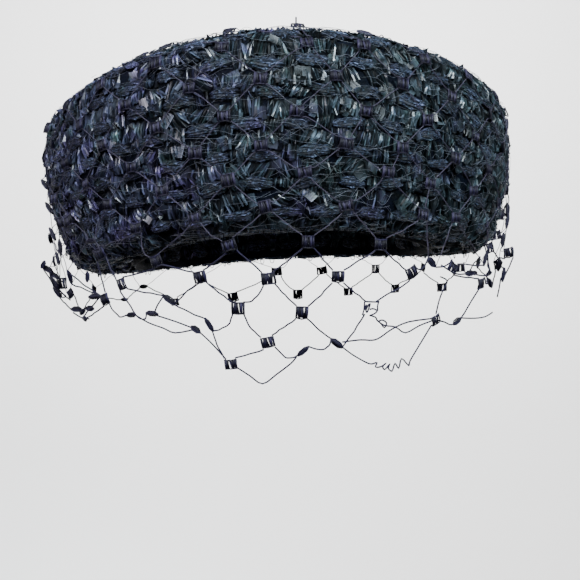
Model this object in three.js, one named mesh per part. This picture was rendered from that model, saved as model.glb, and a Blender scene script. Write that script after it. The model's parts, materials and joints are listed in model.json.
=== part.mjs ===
// Navy woven-straw hat with a deep upturned brim and a coarse dotted net veil.
// Millimetres, +Z up, the front towards -Y. The origin is the middle of the head opening.
import * as THREE from "three";

// Driving dimensions
const FACETS = 56; // facets round the crown and the brim
const GAP = 0.3; // clear space where two pieces meet

const HEAD_SIDE = 80.5; // head opening, half its width
const HEAD_FRONT = 95; // head opening, half its length
const CROWN_WALL = 2;
const CROWN_TOP = 106;

const BRIM_WALL = 3;
const BRIM_OVAL = 4; // how much longer than wide the brim is, each way
const BRIM_HEIGHT = 90.4; // in front, from the lowest point of the turn to the top of the roll
const BRIM_EDGE_Z = 1.5; // underside where it meets the crown
const TURN_RADIUS = 14; // where the underside turns up into the wall
const TURN_SIDE = 116.7; // half width at the foot of the wall
const BULGE_SIDE = 125.3; // half width where the wall is widest
const BULGE_AT = 0.56; // share of the wall's height where it is widest
const WALL_SHARES = [0.12, 0.34, BULGE_AT, 0.78]; // where the wall has its sections
const ROLL_RADIUS = 12; // the rolled top edge
const ROLL_SIDE = 124.35; // half width at the head of the wall
const ROLL_END = 205; // degrees round the roll where its free edge is
const RIM_DIP = 8.5; // how much lower the sides are than the front and back, at the rim
const ROLL_DIP = 19.8; // the same at the top of the brim

const THREAD_WIDTH = 0.8;
const NET_THICKNESS = 0.7;
const DOT_SIZE = 5.6; // the woven square at each crossing
const NET_COLUMNS = 24; // dots round a full row
const NET_TURN = 5; // degrees from the front middle to the first dot of an even row

// The crown's outer sections from the head opening up, as shares of its height, width and length
const CROWN_SECTIONS = [
  { height: 0, width: 1, length: 1 },
  { height: 0.24, width: 0.985, length: 0.988 },
  { height: 0.46, width: 0.955, length: 0.962 },
  { height: 0.64, width: 0.9, length: 0.912 },
  { height: 0.79, width: 0.795, length: 0.815 },
  { height: 0.9, width: 0.63, length: 0.655 },
  { height: 0.97, width: 0.4, length: 0.42 },
  { height: 1, width: 0, length: 0 },
];

// The veil's rows of dots from the brim's bulge down: height in front, half width, how far the row
// is drawn up at the sides, and how far it reaches to the wearer's right and left, in degrees
const VEIL_ROWS = [
  { z: 51, side: 126.4, gather: 0, right: 180, left: 180 },
  { z: 36, side: 125.9, gather: 0, right: 180, left: 180 },
  { z: 21.5, side: 124.9, gather: 0, right: 180, left: 180 },
  { z: 6.5, side: 123.5, gather: 0, right: 180, left: 180 },
  { z: -9, side: 121.8, gather: 1, right: 180, left: 180 },
  { z: -24, side: 119.4, gather: 6, right: 180, left: 180 },
  { z: -38.5, side: 116, gather: 13, right: 82, left: 68 },
  { z: -53, side: 112, gather: 0, right: 34, left: 14 },
  { z: -62, side: 109.5, gather: 0, right: 12, left: 6 },
];

const { degToRad, clamp, lerp, euclideanModulo } = THREE.MathUtils;

// How much lower the brim's sides are than its front at a height.
function brimDip(z) {
  return lerp(RIM_DIP, ROLL_DIP, clamp(z / BRIM_HEIGHT, 0, 1));
}

// A section of the brim or the veil: an oval ring whose sides dip.
function brimSection(side, z) {
  return { side, front: side + BRIM_OVAL, z, dip: brimDip(z) };
}

// A point of a section, at an angle from the front towards +X.
function ovalPoint({ side, front, z, dip }, angle) {
  const sine = Math.sin(angle);
  return new THREE.Vector3(side * sine, -front * Math.cos(angle), z - dip * sine * sine);
}

// The same profile moved inwards by the wall's thickness.
function innerProfile(profile, wall) {
  return profile.map((section, i) => {
    if (section.side === 0) return { ...section, z: section.z - wall };
    const before = profile[Math.max(i - 1, 0)];
    const after = profile[Math.min(i + 1, profile.length - 1)];
    const along = new THREE.Vector2(after.side - before.side, after.z - before.z).normalize();
    return {
      side: section.side - along.y * wall,
      front: section.front - along.y * wall,
      z: section.z + along.x * wall,
      dip: section.dip,
    };
  });
}

function solid(positions, indices) {
  const geometry = new THREE.BufferGeometry();
  geometry.setAttribute("position", new THREE.Float32BufferAttribute(positions, 3));
  geometry.setIndex(indices);
  geometry.computeVertexNormals();
  return geometry;
}

// A shell between an outer profile and the same profile one wall further in.
// A section without width is a single pole.
function shell(outer, wall) {
  const profile = outer.concat(innerProfile(outer, wall).reverse());
  const positions = [];
  const rings = profile.map((section) => {
    const count = section.side > 0 ? FACETS : 1;
    const first = positions.length / 3;
    for (let i = 0; i < count; i++) {
      positions.push(...ovalPoint(section, (2 * Math.PI * i) / FACETS));
    }
    return (i) => first + (i % count);
  });
  const indices = [];
  rings.forEach((ring, k) => {
    const next = rings[(k + 1) % rings.length];
    for (let i = 0; i < FACETS; i++) {
      if (ring(i) !== ring(i + 1)) indices.push(ring(i), ring(i + 1), next(i + 1));
      if (next(i) !== next(i + 1)) indices.push(ring(i), next(i + 1), next(i));
    }
  });
  return solid(positions, indices);
}

function crownGeometry() {
  const outer = CROWN_SECTIONS.map(({ height, width, length }) => ({
    side: width * (HEAD_SIDE + CROWN_WALL),
    front: length * (HEAD_FRONT + CROWN_WALL),
    z: height * CROWN_TOP,
    dip: RIM_DIP * (1 - height),
  }));
  return shell(outer, CROWN_WALL);
}

// Brim sections round an arc in the plane of the profile, in degrees from outward.
function arc(centreSide, centreZ, radius, from, to, steps) {
  return Array.from({ length: steps + 1 }, (_, i) => {
    const angle = degToRad(lerp(from, to, i / steps));
    return brimSection(centreSide + radius * Math.cos(angle), centreZ + radius * Math.sin(angle));
  });
}

// Half width of the brim's wall at a share of its height: a parabola through foot, bulge and head.
function wallSide(share) {
  const foot = ((share - BULGE_AT) * (share - 1)) / BULGE_AT;
  const bulge = (share * (share - 1)) / (BULGE_AT * (BULGE_AT - 1));
  const head = (share * (share - BULGE_AT)) / (1 - BULGE_AT);
  return foot * TURN_SIDE + bulge * BULGE_SIDE + head * ROLL_SIDE;
}

function brimGeometry() {
  const edge = {
    side: HEAD_SIDE + CROWN_WALL + GAP,
    front: HEAD_FRONT + CROWN_WALL + GAP,
    z: BRIM_EDGE_Z,
    dip: brimDip(BRIM_EDGE_Z),
  };
  const wallFoot = TURN_RADIUS;
  const wallHead = BRIM_HEIGHT - ROLL_RADIUS;
  const turn = arc(TURN_SIDE - TURN_RADIUS, wallFoot, TURN_RADIUS, -90, -12, 4);
  const wall = WALL_SHARES.map((share) => brimSection(wallSide(share), lerp(wallFoot, wallHead, share)));
  const roll = arc(ROLL_SIDE - ROLL_RADIUS, wallHead, ROLL_RADIUS, 0, ROLL_END, 7);
  return shell([edge, ...turn, ...wall, ...roll], BRIM_WALL);
}

// A dot's plate has eight corners, in turn as seen from outside with x to the right and y down.
// The short side that starts at each of these corners is where a thread leaves.
const LOWER_RIGHT = 0;
const LOWER_LEFT = 2;
const UPPER_LEFT = 4;
const UPPER_RIGHT = 6;

function plateCorners() {
  const half = DOT_SIZE / 2;
  const cut = half - THREAD_WIDTH / Math.SQRT2;
  const quarter = [[half, cut], [cut, half]];
  const turns = [([x, y]) => [x, y], ([x, y]) => [-y, x], ([x, y]) => [-x, -y], ([x, y]) => [y, -x]];
  return turns.flatMap((turn) => quarter.map(turn));
}

// Where a dot sits, and the directions along its row, down the veil and out.
function dotFrame(row, angle) {
  const section = (k) => {
    const { side, z, gather } = VEIL_ROWS[clamp(k, 0, VEIL_ROWS.length - 1)];
    return { ...brimSection(side, z), dip: brimDip(z) - gather };
  };
  const step = degToRad(1);
  const place = ovalPoint(section(row), angle);
  const along = ovalPoint(section(row), angle + step).sub(ovalPoint(section(row), angle - step)).normalize();
  const down = ovalPoint(section(row + 1), angle).sub(ovalPoint(section(row - 1), angle)).normalize();
  const out = new THREE.Vector3().crossVectors(down, along).normalize();
  return { place, along, down, out };
}

// The angle of a dot from the front, in degrees from -180 to 180; odd rows lie half a step on.
function dotDegrees(row, column) {
  const degrees = NET_TURN + ((column + (row % 2) / 2) * 360) / NET_COLUMNS;
  return euclideanModulo(degrees + 180, 360) - 180;
}

// The whole net in one thickness: a plate at each dot, and a flat thread from each lower corner
// to the dots of the next row, which shares the plates' vertices. Each outer vertex is followed
// by the inner one behind it.
function veilGeometry() {
  const corners = plateCorners();
  const positions = [];
  const indices = [];
  const dots = new Map();
  const quad = (a, b, c, d) => indices.push(a, b, c, a, c, d);
  const rim = (a, b) => quad(a, b, b + 1, a + 1);
  const vertex = (dot, corner) => dot.first + 2 * (corner % corners.length);

  VEIL_ROWS.forEach(({ right, left }, row) => {
    for (let column = 0; column < NET_COLUMNS; column++) {
      const degrees = dotDegrees(row, column);
      if (degrees < -right || degrees > left) continue;
      const { place, along, down, out } = dotFrame(row, degToRad(degrees));
      dots.set(`${row} ${column}`, { row, column, first: positions.length / 3, tied: new Set() });
      for (const [x, y] of corners) {
        for (const half of [NET_THICKNESS / 2, -NET_THICKNESS / 2]) {
          const point = place.clone().addScaledVector(along, x).addScaledVector(down, y);
          positions.push(...point.addScaledVector(out, half));
        }
      }
    }
  });

  const thread = (upper, from, lower, to) => {
    if (!lower) return;
    const [a, b] = [vertex(upper, from), vertex(upper, from + 1)];
    const [c, d] = [vertex(lower, to), vertex(lower, to + 1)];
    quad(a, b, c, d);
    quad(d + 1, c + 1, b + 1, a + 1);
    rim(a, d);
    rim(c, b);
    upper.tied.add(from);
    lower.tied.add(to);
  };
  const dotAt = (row, column) => dots.get(`${row} ${euclideanModulo(column, NET_COLUMNS)}`);
  for (const dot of dots.values()) {
    const next = dot.column + (dot.row % 2);
    thread(dot, LOWER_RIGHT, dotAt(dot.row + 1, next), UPPER_LEFT);
    thread(dot, LOWER_LEFT, dotAt(dot.row + 1, next - 1), UPPER_RIGHT);
  }

  for (const dot of dots.values()) {
    corners.forEach((_, corner) => {
      if (!dot.tied.has(corner)) rim(vertex(dot, corner), vertex(dot, corner + 1));
    });
    for (let corner = 1; corner < corners.length - 1; corner++) {
      const [a, b, c] = [0, corner, corner + 1].map((k) => vertex(dot, k));
      indices.push(a, c, b, a + 1, b + 1, c + 1);
    }
  }
  return solid(positions, indices);
}

const straw = { color: 0x1d2734, roughness: 0.45, metalness: 0 };
const net = { color: 0x14141f, roughness: 0.7, metalness: 0 };

function piece(name, geometry, finish) {
  const mesh = new THREE.Mesh(geometry, new THREE.MeshStandardMaterial(finish));
  mesh.name = name;
  return mesh;
}

const hat = new THREE.Group();
hat.add(piece("crown", crownGeometry(), straw));
hat.add(piece("brim", brimGeometry(), straw));
hat.add(piece("veil", veilGeometry(), net));

export default hat;
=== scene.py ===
"""A navy straw hat: a deep brim turned up all round a low crown, under a dotted net veil.

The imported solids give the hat's form. This script lays the plaited straw and the net over them, in metres.
"""

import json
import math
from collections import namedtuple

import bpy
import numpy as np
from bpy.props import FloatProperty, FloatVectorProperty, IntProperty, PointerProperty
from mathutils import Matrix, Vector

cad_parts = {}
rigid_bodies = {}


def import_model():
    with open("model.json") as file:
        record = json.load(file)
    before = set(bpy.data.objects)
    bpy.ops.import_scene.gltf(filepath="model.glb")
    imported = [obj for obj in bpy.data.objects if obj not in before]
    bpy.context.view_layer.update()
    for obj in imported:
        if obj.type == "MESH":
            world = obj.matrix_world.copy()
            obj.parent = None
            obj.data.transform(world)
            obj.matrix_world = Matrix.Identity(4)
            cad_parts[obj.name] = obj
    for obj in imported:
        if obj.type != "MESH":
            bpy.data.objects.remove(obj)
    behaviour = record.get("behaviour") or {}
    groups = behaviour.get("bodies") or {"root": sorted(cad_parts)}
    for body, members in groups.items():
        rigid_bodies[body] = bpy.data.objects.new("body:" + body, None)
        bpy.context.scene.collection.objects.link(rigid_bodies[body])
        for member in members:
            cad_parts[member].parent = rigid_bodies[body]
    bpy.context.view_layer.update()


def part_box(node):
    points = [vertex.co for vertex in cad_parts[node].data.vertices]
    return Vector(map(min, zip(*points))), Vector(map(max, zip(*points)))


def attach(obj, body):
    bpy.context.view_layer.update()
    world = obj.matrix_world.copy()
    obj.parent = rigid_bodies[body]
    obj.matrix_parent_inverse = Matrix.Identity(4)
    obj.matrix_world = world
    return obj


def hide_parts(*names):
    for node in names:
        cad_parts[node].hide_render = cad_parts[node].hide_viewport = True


bl_info = {
    "name": "Veiled straw hat",
    "version": (1, 0, 0),
    "blender": (4, 5, 0),
    "location": "3D View > Sidebar > Hat",
    "description": "Builds a plaited straw hat with an upturned brim and a dotted net veil",
    "category": "Add Mesh",
}

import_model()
BODY = "root"
FULL_TURN = 2 * math.pi


# Settings that a user would change

def length(name, default, description):
    """A size in metres."""
    return FloatProperty(name=name, description=description, default=default, unit="LENGTH", precision=5)


def angle_in_degrees(name, default, description):
    """An angle, given in degrees."""
    return FloatProperty(name=name, description=description, default=math.radians(default), subtype="ANGLE")


def plain_number(name, default, description):
    """A share, or another number without a unit."""
    return FloatProperty(name=name, description=description, default=default)


def whole_number(name, default, description):
    """A count or a seed."""
    return IntProperty(name=name, description=description, default=default)


def dye(name, default, description):
    """A linear colour."""
    return FloatVectorProperty(
        name=name, description=description, default=default, subtype="COLOR", min=0, max=1)


class HatShape(bpy.types.PropertyGroup):
    """The hat's form, as its solids have it."""

    head_side: length("Head half width", 0.0805, "Half the width of the head opening")
    head_front: length("Head half length", 0.095, "Half the length of the head opening")
    crown_wall: length("Crown wall", 0.002, "Thickness of the crown")
    crown_top: length("Crown height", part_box("crown")[1].z, "Height of the crown above the head opening")
    brim_wall: length("Brim wall", 0.003, "Thickness of the brim")
    brim_oval: length("Brim oval", 0.004, "How much further the brim reaches in front than at its sides")
    brim_height: length("Brim height", 0.0904, "Height of the brim in front")
    brim_edge: length("Brim edge", 0.0015, "Height of the underside where it meets the crown")
    seam_lap: length("Seam lap", 0.0012, "How far the brim reaches into the crown's wall where they are sewn")
    turn_radius: length("Turn radius", 0.014, "Radius where the underside turns up into the wall")
    turn_side: length("Foot half width", 0.1167, "Half width at the foot of the wall")
    bulge_side: length("Bulge half width", 0.1253, "Half width where the wall is widest")
    bulge_at: plain_number("Bulge at", 0.56, "Share of the wall where it is widest")
    roll_radius: length("Roll radius", 0.012, "Radius of the rolled top edge")
    roll_side: length("Head half width of the wall", 0.12435, "Half width at the head of the wall")
    roll_end: angle_in_degrees("Roll end", 205, "Where the roll's free edge is")
    rim_dip: length("Rim dip", 0.0085, "How much lower the sides are than the front, at the rim")
    roll_dip: length("Roll dip", 0.0198, "How much lower the sides are than the front, at the roll")


class StrawLook(bpy.types.PropertyGroup):
    """The plaited straw: matt eye-shaped pads between rows of glossy folded ribbon."""

    row_pitch: length("Row pitch", 0.0138, "From one row of pads to the next")
    first_row: length("First row", 0.0075, "From the head opening to the first row of pads")
    pad_pitch: length("Pad pitch", 0.0229, "From one pad to the next along a row")
    pad_length: length("Pad length", 0.0168, "Length of a pad")
    pad_height: length("Pad height", 0.0067, "Height of a pad")
    pad_rise: length("Pad rise", 0.0023, "How far a pad swells above the ground")
    pad_fibres: whole_number("Pad fibres", 5, "Fibres side by side in a pad")
    pleat_width: length("Pleat group width", 0.0122, "Width of a group of pleats")
    pleat_height: length("Pleat height", 0.0076, "Height of a group of pleats")
    pleat_rise: length("Pleat rise", 0.0020, "How far the highest pleats stand above the ground")
    pleats: whole_number("Pleats", 10, "Folds in a group of pleats")
    flap_size: length("Flap size", 0.0061, "Width of a folded flap of ribbon")
    flap_share: plain_number("Flaps", 0.85, "Share of the places that have a flap")
    sink: length("Sink", 0.0012, "How deep the dark ground lies under the straw's face")
    wall_pads: whole_number("Pads round the wall", 35, "Pads in a row of the wall")
    strays: whole_number("Stray fibres", 1800, "Loose fibres on the outside of the brim")
    edge_loops: whole_number("Edge loops", 76, "Thread loops round the brim's lowest line")
    fibre_radius: length("Fibre radius", 0.00009, "Radius of a loose fibre")
    seed: whole_number("Seed", 7, "Seed of the plait's unevenness")
    pad_dye: dye("Pad colour", (0.0160, 0.0212, 0.0350), "Colour of the matt pads")
    ribbon_dye: dye("Ribbon colour", (0.0084, 0.0128, 0.0166), "Colour of the glossy ribbon")
    # The violet cast is also the colour of the violet light painted on the wearer's right
    violet_dye: dye("Violet cast", (0.0175, 0.0142, 0.0370), "Colour that patches of the straw lean to")
    teal_dye: dye("Teal cast", (0.0080, 0.0146, 0.0152), "Colour that other patches lean to")
    fibre_dye: dye("Fibre colour", (0.038, 0.046, 0.066), "Colour of the loose fibres")
    # The core colour is painted nearly black, as the shade in the weave's gaps
    core_dye: dye("Core colour", (0.0005, 0.0014, 0.0042), "Colour of the dark ground under the plait")


class VeilLook(bpy.types.PropertyGroup):
    """The net: thin threads with a woven dot at each crossing."""

    columns: whole_number("Columns", 24, "Dots round a full row")
    turn: angle_in_degrees("Turn", 5, "From the front to the first dot of an even row")
    row_pitch: length("Row pitch", 0.0153, "From one row of dots to the next, over the brim")
    lift: length("Lift", 0.0014, "How far the net lies off the straw")
    thread_radius: length("Thread radius", 0.00041, "Radius of the hanging thread")
    wall_radius: length("Thread radius on the wall", 0.00021, "Radius of the thread over the brim")
    dot_size: length("Dot size", 0.0058, "Width of a woven dot")
    strands: whole_number("Strands", 7, "Strands in a woven dot")
    strand_radius: length("Strand radius", 0.00053, "Radius of a strand in a woven dot")
    flare: length("Flare", 0.0075, "How far the hanging net stands out at the wearer's right")
    draw_right: angle_in_degrees("Draw at the right", 30, "How far the net behind is drawn forward")
    draw_left: angle_in_degrees("Draw at the left", 12, "How far the net behind is drawn forward")
    mesh_length: length("Mesh thread length", 0.0132, "Length of the thread from one dot to the next")
    seed: whole_number("Seed", 19, "Seed of the net's unevenness")
    net_dye: dye("Net colour", (0.0017, 0.0014, 0.0046), "Colour of the net")
    # Painted sheen of the thread and dots over the brim
    painted_sheen_dye: dye("Painted net sheen colour", (0.0125, 0.0108, 0.0185), "Colour of the thread over the brim")


class StageLook(bpy.types.PropertyGroup):
    """The camera, the lights and the pale ground."""

    camera_place: FloatVectorProperty(name="Camera", description="Where the camera stands",
                                      default=(0.00575, -0.64473, -0.04663), subtype="TRANSLATION")
    camera_pitch: angle_in_degrees("Pitch", 1.916, "How far the camera looks up")
    camera_yaw: angle_in_degrees("Yaw", -0.245, "How far the camera looks to its right")
    camera_roll: angle_in_degrees("Roll", 3.21, "How far the camera leans to its right")
    camera_lens: plain_number("Lens", 72, "Focal length in millimetres")
    floor_height: length("Floor", -1.6, "Height of the floor")
    floor_dye: dye("Floor colour", (0.86, 0.86, 0.86), "Colour of the floor and backdrop")


# The net's rows from the brim's bulge down: height in front, half width, how far the row is drawn up at the
# sides, and how far it reaches to the wearer's right and left in degrees from the front
VeilRow = namedtuple("VeilRow", "height side gather right left")
VEIL_ROWS = (
    VeilRow(0.051, 0.1264, 0, 180, 180),
    VeilRow(0.036, 0.1259, 0, 180, 180),
    VeilRow(0.0215, 0.1249, 0, 180, 180),
    VeilRow(0.0065, 0.1235, 0, 180, 180),
    VeilRow(-0.009, 0.1218, 0.001, 180, 180),
    VeilRow(-0.024, 0.1194, 0.006, 180, 180),
    VeilRow(-0.0385, 0.116, 0.013, 82, 55),
    VeilRow(-0.053, 0.112, 0, 34, 14),
    VeilRow(-0.062, 0.1095, 0, 12, 6),
)
ROWS_OVER_ROLL = 4

# Dots of the net that are pulled out of line: row, degrees from the front, how far they are moved along the
# row in degrees and up in metres, how many degrees they are tilted, and whether they are pinched to a spindle
DotPull = namedtuple("DotPull", "row degrees along up tilt pinched", defaults=(0, 0, 0, False))
DOT_PULLS = (
    DotPull(-3, -17.5, -8, 0.0005, 8),
    DotPull(-3, -2.5, -6.5, 0.0005, -6),
    DotPull(-3, 12.5, -5.5, 0.001, 5),
    DotPull(-3, 27.5, -4, 0.001, -32, True),
    DotPull(-2, 5, 3),
    DotPull(1, 12.5, 2.5),
    DotPull(2, 5, 1, 0.0015),
    DotPull(2, 20, 4, 0.0025),
    DotPull(3, -2.5, 0, 0.002),
    DotPull(3, 12.5, 2, 0.0015),
    DotPull(3, 27.5, 5.5, -0.001),
    DotPull(4, -175, -4, 0.001),
    DotPull(4, -55, -6, 0.0005, 80, True),
    DotPull(4, -25, -3, -0.0015, 10),
    DotPull(4, -10, -0.5, 0.0015, 2),
    DotPull(4, 5, 1, 0.001),
    DotPull(4, 20, 2.5, -0.0005, -4),
    DotPull(4, 35, 1, -0.0075, -35, True),
    DotPull(4, 50, 8, -0.003, 70, True),
    DotPull(4, 65, -3.5, 0.003, 20),
    DotPull(5, -47.5, 1.5, -0.002, 10),
    DotPull(5, -32.5, -7, 0.004, 10),
    DotPull(5, -17.5, -0.5, 0.0035, -3),
    DotPull(5, -2.5, -0.5, 0.0005),
    DotPull(5, 12.5),
    DotPull(5, 27.5, 2.5, 0.001, 22),
    DotPull(5, 42.5, 0.5, 0.0035, -25),
    DotPull(5, 57.5, 4, 0.001, 15, True),
    DotPull(5, 72.5, -2.5, 0.0065, 30),
    DotPull(6, -55, -1.5, -0.0005, 0, True),
    DotPull(6, -40, 1.5, 0.001, 0, True),
    DotPull(6, -25, -1.5, 0.0075, -32, True),
    DotPull(6, -10, 0, 0.0025),
    DotPull(6, 5, -1, -0.001),
    DotPull(6, 20, 0, -0.001),
    DotPull(6, 35, 4, -0.0095, 24),
    DotPull(6, 50, 7, 0.006, 12),
    DotPull(7, -32.5, 0.5, 0.0195, -22, True),
    DotPull(7, -17.5, 0, 0.011, -65, True),
    DotPull(7, -2.5, -1.5, 0.001, 6),
    DotPull(7, 12.5, -0.5, -0.001, -36, True),
    DotPull(8, -10, -3.5, 0.001, -12),
    DotPull(8, 5, -1, 0.005, 32, True),
)
NO_PULL = DotPull(0, 0)
FRAYED_DOT = (6, 20)

# Dots that hang in bunches at the sides: row, degrees from the front, then the degrees, height and stand-off
# where they hang, how many degrees they are tilted, and whether they are pinched
SideDot = namedtuple("SideDot", "row degrees at height out tilt pinched", defaults=(False,))
SIDE_DOTS = (
    SideDot(-1, -77.5, -73, 0.0515, 0.0005, 65, True),
    SideDot(0, -70, -72.5, 0.036, 0.002, -60, True),
    SideDot(0, -85, -97, 0.037, -0.001, 0),
    SideDot(1, -77.5, -72, 0.0235, 0.0015, -62, True),
    SideDot(1, -92.5, -97, 0.024, -0.002, 0),
    SideDot(2, -70, -61, 0.0135, 0.001, 10),
    SideDot(2, -85, -75, 0.0105, 0.001, -68, True),
    SideDot(3, -77.5, -71, 0.003, -0.001, 88, True),
    SideDot(3, -92.5, -72, -0.003, 0.001, -86, True),
    SideDot(4, -100, -72, -0.0085, 0.007, -35, True),
    SideDot(4, -85, -71.5, -0.012, 0.004, -35, True),
    SideDot(4, -70, -72.5, -0.016, 0.001, -6),
    SideDot(4, -40, -45.5, -0.0055, 0, 20),
    SideDot(5, -107.5, -84, -0.019, 0.004, -60, True),
    SideDot(5, -92.5, -71.5, -0.016, 0.005, -70, True),
    SideDot(5, -77.5, -76.5, -0.0205, 0.004, -58, True),
    SideDot(5, -62.5, -51, -0.0255, 0, 2, True),
    SideDot(6, -70, -64.5, -0.0305, 0, -2, True),
    SideDot(-1, 72.5, 72, 0.0535, 0.001, 85, True),
    SideDot(0, 80, 74, 0.0335, 0, 85, True),
    SideDot(1, 72.5, 74, 0.027, -0.0005, 75, True),
    SideDot(2, 80, 74.5, 0.0095, 0.0005, 88, True),
    SideDot(3, 72.5, 74, 0.0035, 0.001, 80, True),
    SideDot(3, 87.5, 75, -0.006, -0.001, 86, True),
    SideDot(4, 80, 78, -0.0125, 0.002, 8),
    SideDot(5, 87.5, 74.5, -0.0245, 0.001, 84, True),
)

# Threads of the net that are torn away, as the dots they tied
CUT_THREADS = (((5, 27.5), (6, 35)), ((5, 42.5), (6, 35)), ((4, -70), (5, -62.5)), ((5, -62.5), (6, -70)))

# Small knots on the loose threads: degrees from the front, height, stand-off, and tilt in degrees
Knot = namedtuple("Knot", "degrees height out tilt")
KNOTS = (
    Knot(47.5, -0.0475, 0, 35),
    Knot(-21, -0.0445, 0, -38),
    Knot(50, -0.0245, 0, 2),
    Knot(-71.5, -0.006, 0.009, 40),
    Knot(-52.5, -0.0155, 0, 75),
    Knot(-55, -0.031, 0, -3),
)

# A loose end that stands up from the net over the roll: its level in rows, degrees from the front, and how
# far it rises and leans to the wearer's left
LooseEnd = namedtuple("LooseEnd", "level degrees rise lean")
LOOSE_END = LooseEnd(-2.7, 6.3, 0.0045, 0.0003)

# Loose threads of the torn edge, each a route of degrees from the front and heights
TORN_ROUTES = (
    ((-12, -0.063), (-9, -0.067), (-6, -0.071), (-2.5, -0.067), (1, -0.0625), (2.5, -0.0595)),
    ((13, -0.0555), (16, -0.06), (19.5, -0.064), (21, -0.065), (22.5, -0.0645), (22, -0.0665),
     (23.5, -0.0665), (25, -0.065), (24, -0.0665), (24.5, -0.068), (26, -0.0655), (25.5, -0.0675),
     (26.5, -0.069), (27.5, -0.0655), (28.5, -0.068), (29.5, -0.0635), (31.5, -0.067), (32, -0.065),
     (34, -0.06), (38, -0.0485)),
    ((13.5, -0.054), (18, -0.0535), (21, -0.054), (23, -0.053), (26, -0.0495), (30.5, -0.0465),
     (38, -0.0455)),
    ((20, -0.0425), (21.5, -0.0435), (22, -0.045), (23, -0.0465), (24, -0.0485), (24.5, -0.0465),
     (23.5, -0.045), (22.5, -0.0455), (24, -0.0475), (27, -0.0485), (30, -0.0515), (34, -0.0485),
     (38, -0.0465)),
    ((39, -0.0435), (39.5, -0.037), (40.5, -0.032), (41.5, -0.028), (39, -0.026)),
    ((56, -0.0315), (52.5, -0.038), (49, -0.046), (45.5, -0.049), (42.5, -0.0475), (40, -0.0465)),
    ((49, -0.046), (56, -0.0465), (63, -0.046), (70, -0.044)),
    ((74, -0.026), (74.5, -0.031), (73.5, -0.036)),
    ((39, -0.0205), (43, -0.024), (46, -0.025), (50, -0.0245), (55, -0.0255), (60, -0.0255)),
    ((-30.5, -0.037), (-25.5, -0.0405), (-21, -0.0445), (-19, -0.048), (-17, -0.0525), (-14.5, -0.059)),
    ((-37, -0.036), (-33.5, -0.04), (-29.5, -0.043), (-26.5, -0.0455), (-21.5, -0.0445)),
    ((-69, -0.032), (-62, -0.035), (-57, -0.036)),
)

# What is left of the frayed dot, as strokes in halves of a dot's size
FRAYED_STROKES = (
    ((-1.1, 1), (0.2, 0.95), (1.3, 0.92)), ((1.35, 1.1), (1.2, 0.3), (1.25, -0.4), (0.85, -0.9), (0.1, -1.2)),
    ((-0.1, 0.6), (-0.5, -0.7), (-0.75, -0.35), (-0.35, 0.55), (-0.05, 0.6)), ((-0.75, 0.55), (-1, -0.35)),
    ((-1.1, 1), (-1.1, -0.4), (-1.3, -1.2)), ((-0.1, -0.25), (0.5, -0.15), (1.1, -0.4)),
)

# The crown's outer sections from the head opening up, as shares of its height, width and length
CrownSection = namedtuple("CrownSection", "height width length")
CROWN_SECTIONS = (
    CrownSection(0, 1, 1),
    CrownSection(0.24, 0.985, 0.988),
    CrownSection(0.46, 0.955, 0.962),
    CrownSection(0.64, 0.9, 0.912),
    CrownSection(0.79, 0.795, 0.815),
    CrownSection(0.9, 0.63, 0.655),
    CrownSection(0.97, 0.4, 0.42),
    CrownSection(1, 0, 0),
)

# Thread loops that stand on the brim's crest: degrees from the front where they start and end, and their rise
CrestLoop = namedtuple("CrestLoop", "start end rise")
CREST_LOOPS = (
    CrestLoop(-28, -20, 0.0022),
    CrestLoop(-15, -11, 0.0014),
    CrestLoop(15, 18.5, 0.0012),
    CrestLoop(21.5, 24.5, 0.0018),
    CrestLoop(27, 30, 0.0026),
    CrestLoop(29, 32.5, 0.002),
    CrestLoop(33, 35, 0.0012),
    CrestLoop(34.5, 41, 0.0014),
)

# How far along its pitch each row of pads starts, from the head opening out
ROW_STARTS = (0.3, 0.7, 0.12, 0.67, 0.8, 0.5, 0.04, 0.88, 0.4, 0.9, 0.45)

# How finely faces are drawn: points along each stretch of a profile, and along and round each ground
BEND_STEPS, WALL_STEPS, ROLL_STEPS, CROWN_STEPS = 14, 24, 30, 40
BRIM_GRID, CROWN_GRID = (64, 144), (48, 112)
ON_AXIS = 1e-6

# Where the brim's turn ends, in degrees of its arc, and the shares of the wall that are drawn above it
TURN_END, WALL_SHARES = -10, (0.05, 0.97)


# The hat's faces

class Face:
    """The outer face of a wall: a profile line swept round the oval of the head, whose sides dip."""

    def __init__(self, side, front, height, dip):
        self.side = np.asarray(side, float)
        self.front = np.asarray(front, float)
        self.height = np.asarray(height, float)
        self.dip = np.asarray(dip, float)
        steps = np.hypot(np.diff(self.side), np.diff(self.height))
        self.run = np.concatenate([[0], np.cumsum(steps)])
        self.out_side = np.gradient(self.height, self.run)
        self.out_height = -np.gradient(self.side, self.run)

    @property
    def length(self):
        """Length of the profile line."""
        return self.run[-1]

    def along(self, values, run):
        """A value of the profile at a run along it."""
        return np.interp(run, self.run, values)

    def girth(self, run):
        """Length once round the face at a run."""
        side, front = self.along(self.side, run), self.along(self.front, run)
        return FULL_TURN * math.sqrt((side**2 + front**2) / 2)

    def at(self, run, turn, lift=0.0):
        """Points at a run along the profile and a turn from the front towards +X, lifted off the face."""
        out = lift * self.along(self.out_side, run)
        side, front = self.along(self.side, run) + out, self.along(self.front, run) + out
        height = self.along(self.height, run) + lift * self.along(self.out_height, run)
        drop = self.along(self.dip, run) * np.sin(turn) ** 2
        return np.stack([side * np.sin(turn), -front * np.cos(turn), height - drop], -1)

    def axes(self, run, turn, lift=0.0, facing=1):
        """Unit directions along the row, up the profile and out of the face, as columns."""
        step_turn, step_run = 1e-3, 2e-4
        east = self.at(run, turn + step_turn, lift) - self.at(run, turn - step_turn, lift)
        up = self.at(run + step_run, turn, lift) - self.at(run - step_run, turn, lift)
        out = np.cross(east, up)
        east, out = (facing * v / np.linalg.norm(v, axis=-1, keepdims=True) for v in (east, out))
        return np.stack([east, np.cross(out, east), out], -1)


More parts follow.
